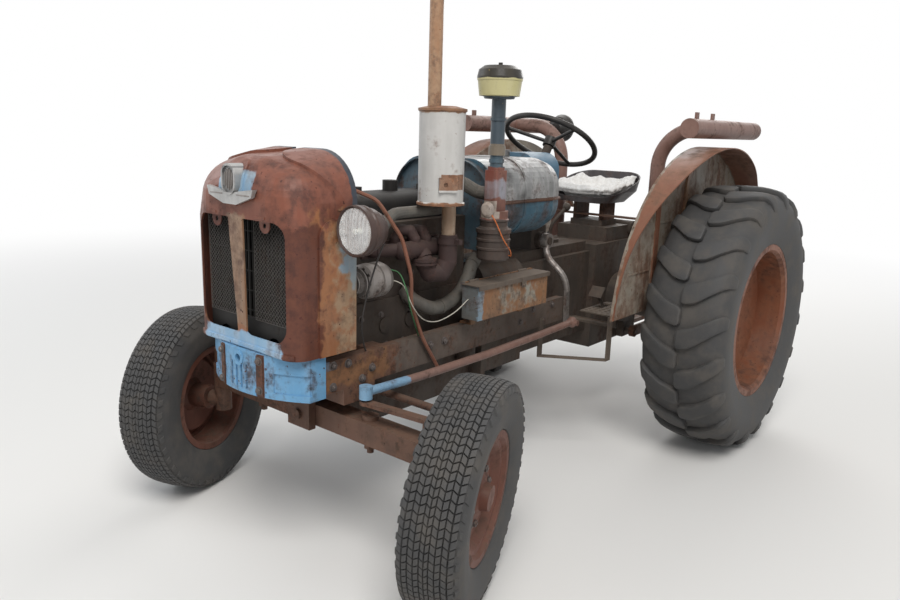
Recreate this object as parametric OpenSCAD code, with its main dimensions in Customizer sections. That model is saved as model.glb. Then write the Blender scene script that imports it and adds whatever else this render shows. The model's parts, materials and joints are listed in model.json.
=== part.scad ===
// Farm tractor of the 1950s, open engine, rear three-point linkage.
// +Z is up, the tractor faces -Y, +X is its left side. The ground is z = 0.

/* [Chassis] */
// Distance between the front and the rear axle
wheelbase = 2032; // [1900:1:2150]
// Rear axle, behind the origin
rear_axle_y = 760; // [740:1:780]
// Sideways distance from the centre to the outer face of a frame rail
rail_out = 245; // [238:1:247]
// Height of a frame rail's web
rail_h = 112; // [90:1:116]
// Underside of the frame rails above the ground
rail_z = 648; // [640:1:652]
// Thickness of a frame rail's plate
rail_t = 10; // [8:1:12]
// Width of a frame rail's flange
rail_flange = 38; // [30:1:42]

/* [Rear wheels] */
// Radius of a rear tyre over its lugs
rear_r = 650; // [640:1:660]
// Width of a rear tyre
rear_w = 388; // [360:1:400]
// Middle of a rear tyre, out from the centre
rear_x = 794; // [785:1:810]
// Radius of a rear rim's flange
rear_rim_r = 378; // [370:1:386]
// Height of a rear lug above the carcass
lug_h = 26; // [18:1:30]
// Lugs on each side of a rear tyre
lug_count = 20; // [16:1:24]

/* [Front wheels] */
// Radius of a front tyre
front_r = 382; // [375:1:390]
// Width of a front tyre
front_w = 203; // [190:1:210]
// Radius of a front rim's flange
front_rim_r = 220; // [216:1:224]
// Kingpin, out from the centre
kingpin_x = 580; // [570:1:585]
// Middle of a front tyre, out from its kingpin
front_offset = 125; // [122:1:130]
// Angle that the front wheels are turned to the left as parked
steer = 20.5; // [0:0.5:21]
// Camber of the left front wheel
camber_left = 4; // [0:0.5:4.5]
// Camber of the right front wheel
camber_right = 1.5; // [0:0.5:4.5]

/* [Steering] */
// Radius of a kingpin
kingpin_r = 20; // [18:0.5:22]
// Length of the arm that the drag link moves
steer_arm = 280; // [270:1:285]
// Angle of that arm from straight inward, as parked
steer_arm_angle = 5; // [0:1:8]
// Height of that arm above the axle's bosses
steer_arm_rise = 57; // [55:0.5:60]
// Length of the arms that the track rod joins
rod_arm = 160; // [150:1:170]
// Height of the track rod above the axle's bosses
track_rod_rise = 30; // [30:0.5:31]
// Radius of the track rod
track_rod_r = 14; // [11:0.5:15]
// Radius of the drag link
drag_link_r = 16; // [12:0.5:17]
// Drop arm's shaft: out from the centre
drop_x = 130; // [126:1:134]
// Drop arm's shaft: along the tractor
drop_y = 40; // [36:1:44]
// Drop arm's shaft: height
drop_z = 1020; // [1015:1:1025]
// Drag link's rear ball: out from the centre
ball_x = 290; // [288:1:292]
// Drag link's rear ball: along the tractor
ball_y = 80; // [76:1:84]
// Height of the drag link above its arm
drag_rise = 38; // [36:1:42]
// Steering wheel's centre along the tractor
wheel_y = 253; // [248:1:258]
// Steering wheel's centre above the ground
wheel_z = 1482; // [1476:1:1488]
// Lean of the steering column from upright
column_lean = 31; // [29:0.5:33]
// Radius of the steering wheel's rim
wheel_r = 228; // [210:1:235]

/* [Nose] */
// Half width of the nose shell
nose_half = 270; // [262:1:274]
// Front of the grille
nose_front = -1571; // [-1580:1:-1560]
// Rear edge of the nose shell
nose_rear = -1318; // [-1325:1:-1310]
// Lower edge of the nose shell
nose_z = 792; // [790:1:798]
// Top of the nose shell
nose_top = 1440; // [1425:1:1450]
// Thickness of the nose shell
nose_t = 6; // [4:0.5:8]

/* [Engine] */
// Front face of the engine block
engine_front = -1205; // [-1210:1:-1195]
// Rear face of the engine block
engine_rear = -500; // [-510:1:-490]
// Half width of the engine block
engine_half = 135; // [125:1:140]
// Top of the cylinder head
head_z = 1180; // [1170:1:1185]
// Underside of the sump
sump_z = 430; // [420:1:450]
// Muffler's radius
muffler_r = 83; // [78:1:86]
// Muffler and stack, out from the centre
stack_x = 275; // [270:1:282]
// Muffler and stack, along the tractor
stack_y = -850; // [-856:1:-844]
// Top of the exhaust stack
stack_top = 2260; // [2100:10:2350]

/* [Rear] */
// Height of the lift arms' cross shaft
lift_z = 1010; // [1000:1:1020]
// Lift arms' cross shaft, behind the rear axle
lift_back = 150; // [145:1:155]
// Length of a lift arm
lift_arm = 270; // [260:1:280]
// Lower links' pins, out from the centre
link_x = 255; // [252:1:260]
// Height of the lower links' front pins
link_z = 450; // [440:1:460]
// Length of a lower link
link_len = 835; // [820:1:850]
// Radius of the hole in a lower link's ball
link_bore = 14.35; // [11.2:0.05:14.5]
// Radius of the power take-off shaft
pto_r = 17.4; // [17:0.1:18]
// Radius of the drawbar's pin hole
drawbar_bore = 14; // [12:0.5:16]

/* [Driver's place] */
// Half width of the seat pan
seat_half = 232; // [220:1:240]
// Middle of the seat along the tractor
seat_y = 735; // [725:1:745]
// Underside of the seat pan
seat_z = 1165; // [1160:1:1175]
// Inner face of a fender's panel
fender_x = 560; // [552:1:565]
// Radius of a fender's crown about the rear axle
fender_r = 826; // [815:1:835]
// Thickness of a fender's sheet
fender_t = 5; // [3:0.5:6]

/* [Hidden] */

front_axle_y = rear_axle_y - wheelbase;
rear_z = rear_r;
// Running fit of a shaft in its hole, and the gap of parts that only lie close
fit = 0.05;
seat_gap = 0.3;
side_list = [-1, 1];

// Radius of the rims' bead seats
front_seat_r = 203.2;
rear_seat_r = 355.3;
// Front tyre: radius and half width from the tread to the bead, then the inside back up
front_profile = [[front_r, 0], [front_r - 3, 60], [front_r - 10, 85], [front_r - 30, front_w / 2 - 3],
    [front_r - 72, front_w / 2], [front_r - 112, 98], [front_rim_r + 20, 90], [front_rim_r + 2, 80],
    [front_rim_r + 0.5, 71.4], [front_seat_r + seat_gap, 65.5]];
front_inside = [[front_seat_r + seat_gap, 48], [front_rim_r + 15, 66], [front_r - 107, 82], [front_r - 72, 86],
    [front_r - 38, 82], [front_r - 20, 58], [front_r - 16, 0]];
// Rear tyre in the same way
rear_profile = [[rear_r - lug_h, 0], [rear_r - lug_h - 3, 110], [rear_r - lug_h - 14, 158], [rear_r - 66, 182],
    [rear_r - 110, rear_w / 2],
    [rear_r - 170, 190], [rear_rim_r + 52, 180], [rear_rim_r + 17, 172], [rear_rim_r + 1.5, 167],
    [rear_rim_r + 0.5, 157.3], [rear_seat_r + seat_gap, 151.5]];
rear_inside = [[rear_seat_r + seat_gap, 118], [rear_rim_r + 22, 148], [rear_r - 180, 170], [rear_r - 110, 176],
    [rear_r - 82, 160], [rear_r - lug_h - 22, 110], [rear_r - lug_h - 18, 0]];
// Lug: half width of the tread, then its outline (forward round the tyre, out from the middle)
lug_edge = 191;
lug_outline = [[-38, -4], [36, -4], [46, 6], [58, 72], [140, 200], [64, 200], [-18, 84], [-44, 8]];
// Height of a cambered front wheel's centre
function wheel_height(camber) = max([for (p = front_profile) p[0] * cos(camber) + p[1] * sin(camber)]);

// Front axle beam, its pivot and the kingpin bosses
beam_h = 80;
beam_d = 80;
pivot_r = 20;
boss_low = front_r + 42;
boss_high = boss_low + 121;
beam_z = boss_high - 50;
kingpin_top = boss_high + 65;
axle_block_front = front_axle_y - beam_d / 2 - 33;
axle_block_rear = front_axle_y + beam_d / 2 + 33;
hub_in = 60;
spindle_r = 22;

// Steering joints
steer_arm_z = boss_high + steer_arm_rise;
track_rod_z = boss_high + track_rod_rise;
drag_z = steer_arm_z + drag_rise;
rod_arm_z = track_rod_z - 29;
rod_pin_r = 9;
rod_left = [kingpin_x - rod_arm * sin(steer), front_axle_y + rod_arm * cos(steer)];
rod_right = [rod_left[0] - 2 * kingpin_x, rod_left[1]];
drag_front = [kingpin_x - steer_arm * cos(steer_arm_angle), front_axle_y - steer_arm * sin(steer_arm_angle)];
drop_shaft_r = 18;
ball_r = 16;
arm_x = rail_out + 6;
column_len = 470;

// Engine
crank_z = 650;
block_top = 900;
sump_half = 125;
sump_front = -1080;
head_rear = -566;
pulley_z = 735;
fan_z = 960;
rocker_front = -1180;
rocker_rear = -580;
manifold_ports = [-1040, -900, -760, -620];
port_z = 1090;
// Exhaust runners: port along the tractor, end on the collector, radius, 1 if arched
runner_list = [[-1120, -1022, 24, 0], [-1010, -966, 20, 1], [-915, -906, 20, 1], [-790, -850, 24, 0]];
stub_x = 155;
arch_z = 1126;
log_x = 213;
log_z = 1088;
log_r = 33;
log_front = -1030;
log_rear = -842;
flange_x = 235;
flange_y = -937;
flange_z = 1056;
elbow_r = 35;
elbow_z = 1040;
stack_joint_z = 1140;
muffler_y = stack_y - 50;
muffler_z = 1255;
muffler_len = 339;
radiator_y = -1500;
radiator_half = 215;
core_z = 850;
core_top = 1300;
alternator_x = 205;
alternator_y = -1235;
alternator_z = 1000;
pipe_x = 284;

// Nose
casting_z = 645;
casting_half = rail_out + 17;
casting_front = -1592;
casting_rear = -1440;
casting_bow = 446;
post_half = 38;
opening_w = 187;
opening_low = 842;
opening_high = 1228;
screen_y = -1541;
screen_top = 1262;
screen_wire = 3;
screen_pitch = 21;
screen_row = 66;
screen_columns = floor((radiator_half - 4) / screen_pitch);
screen_rows = floor((screen_top - core_z) / screen_row);
tab_x = 128;
dome_rise = 9;
dome_x = 152;
dome_r = 128;
dome_front = nose_front + 92;
dome_z = 1262;
panel_rise = 6;
panel_front = nose_front + 96;
panel_top = 1236;
panel_r = 62;
lamp_x = 363;
lamp_y = -1410;
lamp_z = 1207;
lamp_r = 81;

// Chassis
rail_front = -1500;
rail_rear = 60;
gear_half = 138;
bell_half = 190;
gearbox_top = 975;
axle_case_front = 480;
axle_case_rear = 1010;
lift_base_z = 960;
lift_y = rear_axle_y + lift_back;
lift_top_z = lift_z + 55;
link_y = rear_axle_y + 65;
trumpet_r = 85;
trumpet_end = 640;
pad_z = rear_z + trumpet_r;
axle_r = 35;
axle_in = trumpet_end - 60 - rear_x;
hub_face = trumpet_end + 5 - rear_x;
dish_z = -30;
pto_z = 620;
drawbar_y = 1470;

// Three-point linkage
lift_angle = -12;
lift_shaft_r = 24;
lift_arm_x = 185;
lift_end_y = lift_y + lift_arm * cos(lift_angle);
lift_end_z = lift_z + lift_arm * sin(lift_angle);
rod_x = 225;
rod_eye_r = 10;
rod_low_z = link_z;

// Tank, bulkhead and air cleaner
bulkhead_y = -560;
bulkhead_t = 6;
tank_half = 258;
tank_low = 1080;
tank_top = 1410;
tank_seam_z = 1232;
// Tank sections: place along the tractor, half width, half height, corner radius
tank_sections = [[bulkhead_y + bulkhead_t, tank_half, 165, 125], [-110, tank_half, 165, 125],
    [-40, tank_half - 16, 149, 115], [5, tank_half - 50, 118, 95], [19, tank_half - 95, 75, 60]];
air_x = 330;
air_y = -640;
can_half = 30;

// Toolbox
box_x0 = 270;
box_x1 = 350;
box_y0 = -746;
box_y1 = -260;
box_z0 = 800;
box_z1 = 935;
hinge_x = 262;
hinge_z = 938;
hinge_r = 3;
hinge_sleeve = 60;
hinge_sleeves = [-700, -360];
latch_y = -455;

// Driver's place
plate_x0 = 340;
plate_x1 = 520;
plate_y0 = 60;
plate_y1 = 320;
plate_z = 706;
pedal_x = 374;
crown_w = 162;
// Crown's outer edge: from the rear axle, out from the panel
crown_edge = [[-870, -120], [-870, 14], [-760, 22], [-640, 66], [-480, 122], [-300, 154], [-100, 166], [200, 166],
    [420, 154], [600, 122], [740, 60], [740, -120]];
rib_y = 604;
rib_w = 26;
rib_z = 1270;
rib_bend = 190;
post_x = 300;
post_y = 860;
post_r = 38;
post_bend = 200;
post_bend_z = 1360;
pipe_r = 45;
pipe_out = 650;
pipe_front = 390;
pipe_rear = 1240;

// Unit vector along v
function unit(v) = v / norm(v);

// A line of points with each inner corner turned into a short curve
function eased(points, cut, steps = 4) = let(last = len(points) - 1) concat([points[0]],
    [for (i = [1 : last - 1]) let(q = points[i],
        a = q + cut * unit(points[i - 1] - q), b = q + cut * unit(points[i + 1] - q))
        for (k = [0 : steps]) let(t = k / steps)
            (1 - t) * (1 - t) * a + 2 * t * (1 - t) * q + t * t * b], [points[last]]);

// Round bar swept along points; ref is a direction that the path never takes
module tube(points, r, ref = [1, 0, 0], sides = 12) {
    last = len(points) - 1;
    ring_points = [for (i = [0 : last])
        let(along = unit(points[min(i + 1, last)] - points[max(i - 1, 0)]),
            u = unit(cross(along, ref)), v = cross(along, u))
        for (k = [0 : sides - 1]) points[i] + r * (cos(360 * k / sides) * u + sin(360 * k / sides) * v)];
    side_faces = [for (i = [0 : last - 1], k = [0 : sides - 1]) let(n = (k + 1) % sides)
        [i * sides + k, (i + 1) * sides + k, (i + 1) * sides + n, i * sides + n]];
    polyhedron(ring_points, concat([[for (k = [0 : sides - 1]) k]],
        [[for (k = [sides - 1 : -1 : 0]) last * sides + k]], side_faces));
}

// Straight round bar from a to b
module bar(a, b, r) {
    d = b - a;
    translate(a) rotate([0, acos(d[2] / norm(d)), atan2(d[1], d[0])]) cylinder(h = norm(d), r = r, $fn = 32);
}

// Place on a half ring from a about the middle between its ends
function ring_point(a, mid, z, rise, turn) = let(p = mid + cos(turn) * (a - mid))
    [p[0], p[1], z + rise * norm(a - mid) * sin(turn)];

// Mitred bend of round bar between two places at one height; rise 1 arches up, -1 hangs down
module half_ring(a, b, z, r, rise) {
    mid = (a + b) / 2;
    for (k = [0 : 2]) bar(ring_point(a, mid, z, rise, 60 * k), ring_point(a, mid, z, rise, 60 * k + 60), r);
    for (k = [0 : 3]) translate(ring_point(a, mid, z, rise, 60 * k)) sphere(r = r + 0.8, $fn = 24);
}

// Cylinder along X from x0, through y and z
module pin_x(x0, length, y, z, r) {
    translate([x0, y, z]) rotate([0, 90, 0]) cylinder(h = length, r = r, $fn = 48);
}

// Cylinder along Y from y0, through x and z
module pin_y(y0, length, x, z, r) {
    translate([x, y0, z]) rotate([-90, 0, 0]) cylinder(h = length, r = r, $fn = 48);
}

// Box between two corners
module block(low, high) {
    translate(low) cube(high - low);
}

// Flat rectangle with round corners
module round_rect(w, h, r) {
    for (x = side_list, y = side_list) translate([x * (w / 2 - r), y * (h / 2 - r)]) circle(r = r, $fn = 32);
    square([w - 2 * r, h], center = true);
    square([w, h - 2 * r], center = true);
}

// A profile drawn in X and Z, made length long from y0 towards +Y
module along_y(y0, length) {
    translate([0, y0 + length, 0]) rotate([90, 0, 0]) linear_extrude(length) children();
}

// A profile drawn in Y and Z, made length long from x0 towards +X
module along_x(x0, length) {
    translate([x0, 0, 0]) rotate([90, 0, 90]) linear_extrude(length) children();
}

// Arch: a flat base at bottom, round shoulders of radius r at top
module arch(half, bottom, top, r) {
    for (s = side_list) translate([s * (half - r), top - r]) circle(r = r, $fn = 48);
    translate([-half, bottom]) square([2 * half, top - r - bottom]);
    translate([-half + r, bottom]) square([2 * (half - r), top - bottom]);
}

// Both sides of the tractor
module both_sides() {
    children();
    mirror([1, 0, 0]) children();
}

// Engine
module engine_block() {
    color("#4a4038") {
        block([-engine_half, engine_front, crank_z], [engine_half, engine_rear, block_top]);
        block([-engine_half + 8, engine_front + 6, block_top], [engine_half - 8, head_rear, head_z]);
        block([-sump_half, sump_front, sump_z], [sump_half, engine_rear, crank_z]);
        // timing cover, crankshaft pulley and water pump
        block([-105, engine_front - 38, crank_z + 10], [105, engine_front, fan_z + 60]);
        pin_y(engine_front - 74, 36, 0, pulley_z, 68);
        pin_y(engine_front - 78, 40, 0, fan_z, 34);
        pin_y(engine_front - 50, 14, 0, fan_z, 48);
        // oil filter, starter motor and injection pump
        translate([160, engine_rear - 70, 560]) cylinder(h = 150, r = 40, $fn = 48);
        pin_y(engine_rear - 250, 250, -172, 802, 44);
        block([-215, -1020, 800], [-engine_half, -760, 900]);
        for (k = [0 : 3]) translate([-185, -990 + 64 * k, 900]) cylinder(h = 60, r = 15, $fn = 24);
        // side ribs and core plugs
        for (y = manifold_ports) pin_x(engine_half, 6, y, 800, 30);
        block([engine_half, engine_front + 110, crank_z], [engine_half + 10, engine_rear - 120, crank_z + 22]);
    }
}

module rocker_cover() {
    color("#3b332d") {
        along_y(rocker_front, rocker_rear - rocker_front) arch(88, head_z, head_z + 105, 50);
        for (y = [rocker_front + 130, rocker_rear - 130])
            translate([0, y, head_z + 103]) cylinder(h = 22, r = 14, $fn = 24);
        translate([0, (rocker_front + rocker_rear) / 2, head_z + 100]) cylinder(h = 45, r = 30, $fn = 32);
    }
}

module exhaust_manifold() {
    port_x = engine_half - 8;
    color("#4d3830") {
        for (p = runner_list) {
            block([port_x, p[0] - 40, port_z - 28], [port_x + 12, p[0] + 40, port_z + 28]);
            pin_x(port_x + 6, stub_x - port_x - 6, p[0], port_z, p[2]);
            translate([stub_x, p[0], port_z]) sphere(r = p[2] + 1.5, $fn = 24);
            if (p[3]) {
                half_ring([stub_x, p[0]], [log_x, p[1]], arch_z, p[2], 1);
                translate([stub_x, p[0], port_z]) cylinder(h = arch_z - port_z, r = p[2], $fn = 48);
                translate([log_x, p[1], log_z]) cylinder(h = arch_z - log_z, r = p[2], $fn = 48);
            }
            else bar([stub_x, p[0], port_z], [log_x, p[1], log_z + 4], p[2]);
        }
        // collector with its neck and flange
        pin_y(log_front, log_rear - log_front, log_x, log_z, log_r);
        for (y = [log_front, log_rear]) translate([log_x, y, log_z]) sphere(r = log_r + 2, $fn = 24);
        bar([log_x, flange_y, log_z], [flange_x, flange_y, flange_z], 31);
        translate([flange_x, flange_y, flange_z - 12]) cylinder(h = 12, r = 47, $fn = 48);
        translate([flange_x, flange_y, flange_z - 23]) cylinder(h = 9, r = 47, $fn = 48);
        // elbow up to the stack, with its clamp
        translate([flange_x, flange_y, elbow_z]) cylinder(h = flange_z - elbow_z - 6, r = elbow_r, $fn = 48);
        half_ring([flange_x, flange_y], [stack_x, stack_y], elbow_z, elbow_r, -1);
        translate([stack_x, stack_y, elbow_z]) cylinder(h = stack_joint_z - elbow_z, r = elbow_r, $fn = 48);
        translate([stack_x, stack_y, stack_joint_z - 34]) cylinder(h = 22, r = elbow_r + 4, $fn = 48);
        block([stack_x + 30, stack_y - 9, stack_joint_z - 32], [stack_x + 62, stack_y + 9, stack_joint_z - 14]);
    }
}

module exhaust_stack() {
    color("#d8d2c8") {
        translate([stack_x, stack_y, stack_joint_z]) cylinder(h = muffler_z - stack_joint_z, r = 26, $fn = 32);
        translate([stack_x, muffler_y, muffler_z]) rotate_extrude($fn = 96) polygon([[0, 0], [muffler_r + 5, 0],
            [muffler_r + 5, 8], [muffler_r, 12], [muffler_r, muffler_len - 12], [muffler_r + 5, muffler_len - 8],
            [muffler_r + 5, muffler_len], [muffler_r * 0.6, muffler_len + 9], [0, muffler_len + 9]]);
        difference() {
            translate([stack_x, muffler_y - 46, muffler_z + muffler_len])
                cylinder(h = stack_top - muffler_z - muffler_len, r = 24, $fn = 32);
            translate([stack_x, muffler_y - 46, muffler_z + muffler_len + 40])
                cylinder(h = stack_top - muffler_z, r = 21, $fn = 32);
        }
        // folded seam along the shell, and a square lug with its hole
        translate([stack_x, muffler_y, muffler_z + 12]) rotate([0, 0, -28])
            block([0, muffler_r - 4, 0], [7, muffler_r + 3, muffler_len - 24]);
        translate([stack_x, muffler_y, muffler_z + 50]) rotate([0, 0, -32]) difference() {
            block([muffler_r - 12, -34, 0], [muffler_r + 7, 34, 52]);
            block([muffler_r - 20, -29, 5], [muffler_r + 3, 29, 47]);
            pin_x(muffler_r - 1, 12, -10, 26, 8);
        }
    }
}

module intake_pipe() {
    color("#6f7d88") {
        tube(eased([[engine_half - 8, -1150, port_z + 50], [200, -1150, port_z + 50], [200, -1085, 1226],
            [200, -800, 1226], [190, -735, 1250]], 45, 4), 21, [0.3, 0.1, 1], 14);
        translate([186, -722, 1262]) sphere(r = 35, $fn = 48);
        tube(eased([[190, -722, 1266], [212, -714, 1330], [244, air_y, 1285], [air_x - can_half, air_y, 1285]], 28, 4),
            26, [0, 1, 0.4], 16);
    }
}

module radiator() {
    color("#2a2725") {
        block([-radiator_half, radiator_y, core_z], [radiator_half, radiator_y + 62, core_top]);
        for (k = [0 : 20]) block([-radiator_half + 8 + 20.5 * k, radiator_y - 5, core_z],
            [-radiator_half + 11 + 20.5 * k, radiator_y, core_top]);
        block([-radiator_half - 6, radiator_y - 12, nose_z - 2], [radiator_half + 6, radiator_y + 76, core_z]);
        along_y(radiator_y - 10, 82) arch(radiator_half + 6, core_top, core_top + 60, 40);
        translate([0, radiator_y + 30, core_top + 58]) cylinder(h = 26, r = 30, $fn = 32);
        pin_y(radiator_y + 60, 60, 60, core_top + 30, 22);
        // grille screen in front of the core: its sides, its wires and the plate with the starting hole
        both_sides() {
            block([radiator_half - 4, screen_y, nose_z + 12], [radiator_half, radiator_y, screen_top]);
            along_y(screen_y, 3) difference() {
                translate([0, core_z]) square([radiator_half, screen_top - core_z]);
                for (i = [0 : screen_columns - 1], j = [0 : screen_rows - 1])
                    translate([screen_wire + i * screen_pitch, core_z + screen_wire + j * screen_row])
                        square([screen_pitch - screen_wire, screen_row - screen_wire]);
            }
            along_y(screen_y - 3, 8) difference() {
                translate([0, nose_z + 12]) square([radiator_half, core_z + 46 - nose_z - 12]);
                translate([post_half + opening_w / 2, nose_z + 12]) circle(r = 40, $fn = 48);
            }
        }
    }
}

module fan() {
    color("#3a3a3c") translate([0, engine_front - 78, fan_z]) rotate([90, 0, 0]) {
        cylinder(h = 42, r = 45, $fn = 32);
        for (k = [0 : 3]) rotate([0, 0, 90 * k + 20]) translate([0, 0, 30])
            rotate([28, 0, 0]) translate([30, -38, -2]) cube([165, 76, 3]);
    }
}

module alternator() {
    color("#a9abad") {
        difference() {
            translate([alternator_x, alternator_y, alternator_z]) rotate([-90, 0, 0]) rotate_extrude($fn = 64)
                polygon([[0, 0], [48, 0], [60, 10], [62, 30], [62, 42], [56, 44], [56, 62], [62, 64], [62, 92],
                    [52, 114], [34, 118], [0, 118]]);
            for (k = [0 : 9]) translate([alternator_x, alternator_y, alternator_z]) rotate([0, 36 * k, 0])
                block([34, -1, -6], [53, 7, 6]);
        }
        // pulley with its groove, and the fan behind it
        translate([alternator_x, alternator_y - 40, alternator_z]) rotate([-90, 0, 0]) rotate_extrude($fn = 64)
            polygon([[0, 0], [38, 0], [38, 4], [28, 11], [28, 15], [38, 22], [38, 26], [50, 27], [50, 31], [18, 31],
                [18, 41], [0, 41]]);
        block([engine_half - 8, alternator_y + 70, alternator_z - 18],
            [alternator_x, alternator_y + 100, alternator_z + 18]);
    }
}

// Nose
module nose_form(inset) {
    half = nose_half - inset;
    hull() {
        along_y(nose_rear - 3, 3 + (inset > 0 ? 2 : 0)) arch(half, nose_z - inset, nose_top - inset, 165);
        for (s = side_list) {
            translate([s * (half - 62 + inset), nose_front + 62, nose_z - inset])
                cylinder(h = 1215 - nose_z, r = 62 - inset, $fn = 40);
            translate([s * (half - 132 + inset), nose_front + 112, 1276]) sphere(r = 132 - inset, $fn = 40);
        }
        for (s = side_list)
            translate([s * 50, nose_front + 84, 1326]) sphere(r = 98 - inset, $fn = 40);
    }
}

module nose_shell() {
    color("#8a4a2c") difference() {
        union() {
            nose_form(0);
            // domes either side of the middle band
            intersection() {
                nose_form(-dome_rise);
                both_sides() {
                    translate([dome_x, dome_front + dome_r, dome_z]) cylinder(h = 400, r = dome_r, $fn = 64);
                    block([dome_x - dome_r, dome_front + dome_r, dome_z], [dome_x + 200, nose_rear, dome_z + 400]);
                }
            }
            // side panels with one rounded corner
            for (s = side_list) along_x(s > 0 ? nose_half - nose_t : -nose_half - panel_rise, nose_t + panel_rise) {
                translate([panel_front + panel_r, nose_z]) square([nose_rear - panel_front - panel_r, panel_top - nose_z]);
                translate([panel_front, nose_z]) square([nose_rear - panel_front - 1, panel_top - panel_r - nose_z]);
                translate([panel_front + panel_r, panel_top - panel_r]) circle(r = panel_r, $fn = 64);
            }
            // rolled lip along the lower edge
            intersection() {
                nose_form(-5);
                block([-nose_half + 20, nose_front - 20, nose_z], [nose_half - 20, nose_front + 50, nose_z + 20]);
            }
            // badge's plate on the middle band
            intersection() {
                nose_form(-5);
                along_y(nose_front - 60, 120) translate([0, 1340]) round_rect(92, 150, 45);
            }
        }
        nose_form(nose_t);
        for (s = side_list) intersection() {
            translate([s * (post_half + opening_w / 2 - 20), 0, 0])
                along_y(nose_front - 60, 150) translate([0, (opening_low + opening_high) / 2])
                    round_rect(opening_w + 40, opening_high - opening_low, 52);
            along_y(nose_front - 60, 150) polygon([[s * (post_half - 15), opening_low], [s * post_half, opening_high],
                [s * nose_half, opening_high], [s * nose_half, opening_low]]);
        }
    }
    // tabs with a hole, hung from the openings' upper edges
    color("#8a4a2c") both_sides() difference() {
        union() {
            block([tab_x - 26, nose_front + 1, opening_high - 14], [tab_x + 26, nose_front + 4, opening_high + 14]);
            pin_y(nose_front + 1, 3, tab_x, opening_high - 14, 26);
            block([tab_x - 26, nose_front - 20, opening_high + 6], [tab_x + 26, nose_front + 4, opening_high + 14]);
        }
        pin_y(nose_front, 5, tab_x, opening_high - 16, 8);
    }
}

module nose_casting() {
    color("#6fa8d6") {
        difference() {
            casting_plan(casting_z, nose_z, 0);
            casting_plan(casting_z + 12, nose_z + 1, casting_half - rail_out);
            block([-rail_out, casting_rear - 60, casting_z - 1], [rail_out, casting_rear + 1, nose_z + 1]);
            // starting hole, upright slots and a shallow panel on each round side
            pin_y(casting_front - 20, 100, 0, nose_z - 30, 14);
            for (k = [-1.5 : 1 : 1.5]) block([k * 26 - 5, casting_front - 9, casting_z + 16],
                [k * 26 + 5, casting_front + 7, nose_z - 46]);
            difference() {
                both_sides() block([150, casting_front, casting_z + 22], [casting_half + 10, casting_rear - 60, nose_z - 58]);
                casting_plan(casting_z, nose_z, 5);
            }
        }
        difference() {
            pin_y(casting_front - 4, 14, 0, nose_z - 30, 26);
            pin_y(casting_front - 20, 100, 0, nose_z - 30, 14);
        }
        // straps and the shelf that carries the radiator
        for (x = [-104, 99]) intersection() {
            casting_plan(casting_z + 4, nose_z - 6, -4);
            block([x - 14, -1700, casting_z], [x + 14, -1540, nose_z]);
        }
        intersection() {
            casting_plan(nose_z - 22, nose_z - 2, 1);
            block([-rail_out, radiator_y - 40, casting_z], [rail_out, casting_rear - 20, nose_z]);
        }
    }
}

module casting_plan(low, high, inset) {
    translate([0, 0, low]) linear_extrude(high - low) intersection() {
        translate([0, casting_front + casting_bow]) circle(r = casting_bow - inset, $fn = 96);
        translate([0, (casting_front + casting_rear) / 2 + 40])
            round_rect(2 * (casting_half - inset), casting_rear - casting_front + 80, 45);
        translate([-400, -1700]) square([800, casting_rear + 1700]);
    }
}

module badge() {
    color("#c9ced3") difference() {
        union() {
            along_y(nose_front - 34, 112) translate([0, 1350]) round_rect(60, 84, 29);
            along_y(nose_front - 40, 112) translate([0, 1350]) difference() {
                round_rect(72, 98, 35);
                round_rect(58, 84, 28);
            }
            along_y(nose_front - 36, 100) polygon([[-122, 1324], [-30, 1312], [30, 1312], [122, 1324], [112, 1298],
                [34, 1272], [-34, 1272], [-112, 1296]]);
        }
        nose_form(-5);
    }
}

module headlamps() {
    color("#5a4136") both_sides() {
        translate([lamp_x, lamp_y, lamp_z]) rotate([-90, 0, 0]) rotate_extrude($fn = 64)
            polygon([[0, 14], [lamp_r - 8, 14], [lamp_r - 8, 0], [lamp_r - 4, -3], [lamp_r, 0], [lamp_r, 16],
                [lamp_r - 5, 20], [lamp_r - 5, 24], [lamp_r - 2, 28], [lamp_r - 2, 36], [lamp_r - 8, 42],
                [lamp_r - 12, 66], [lamp_r * 0.68, 94], [lamp_r * 0.38, 112], [lamp_r * 0.2, 116], [0, 116]]);
        block([nose_half + panel_rise, lamp_y + 50, lamp_z - 20], [lamp_x - 40, lamp_y + 74, lamp_z + 20]);
        pin_y(lamp_y + 110, 22, lamp_x, lamp_z, 12);
    }
}

module headlamp_lenses() {
    color("#dfe6ea") both_sides() translate([lamp_x, lamp_y, lamp_z]) rotate([-90, 0, 0])
        rotate_extrude($fn = 48) polygon([[0, -12], [lamp_r * 0.5, -7], [lamp_r - 8.3, 2], [lamp_r - 8.3, 13.7],
            [0, 13.7]]);
}

module overflow_pipe() {
    color("#a5533c")
        tube(eased([[186, radiator_y + 72, core_top + 28], [186, -1400, core_top + 30], [238, -1325, core_top + 30],
            [pipe_x, -1235, 1290], [pipe_x, -1110, 1150], [pipe_x, -1058, 1010], [rail_out + 23, -1040, 900],
            [rail_out + 15, -960, 750], [rail_out + 13, -850, 595]], 30, 3), 7, [1, 0, 0.2], 8);
}

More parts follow.
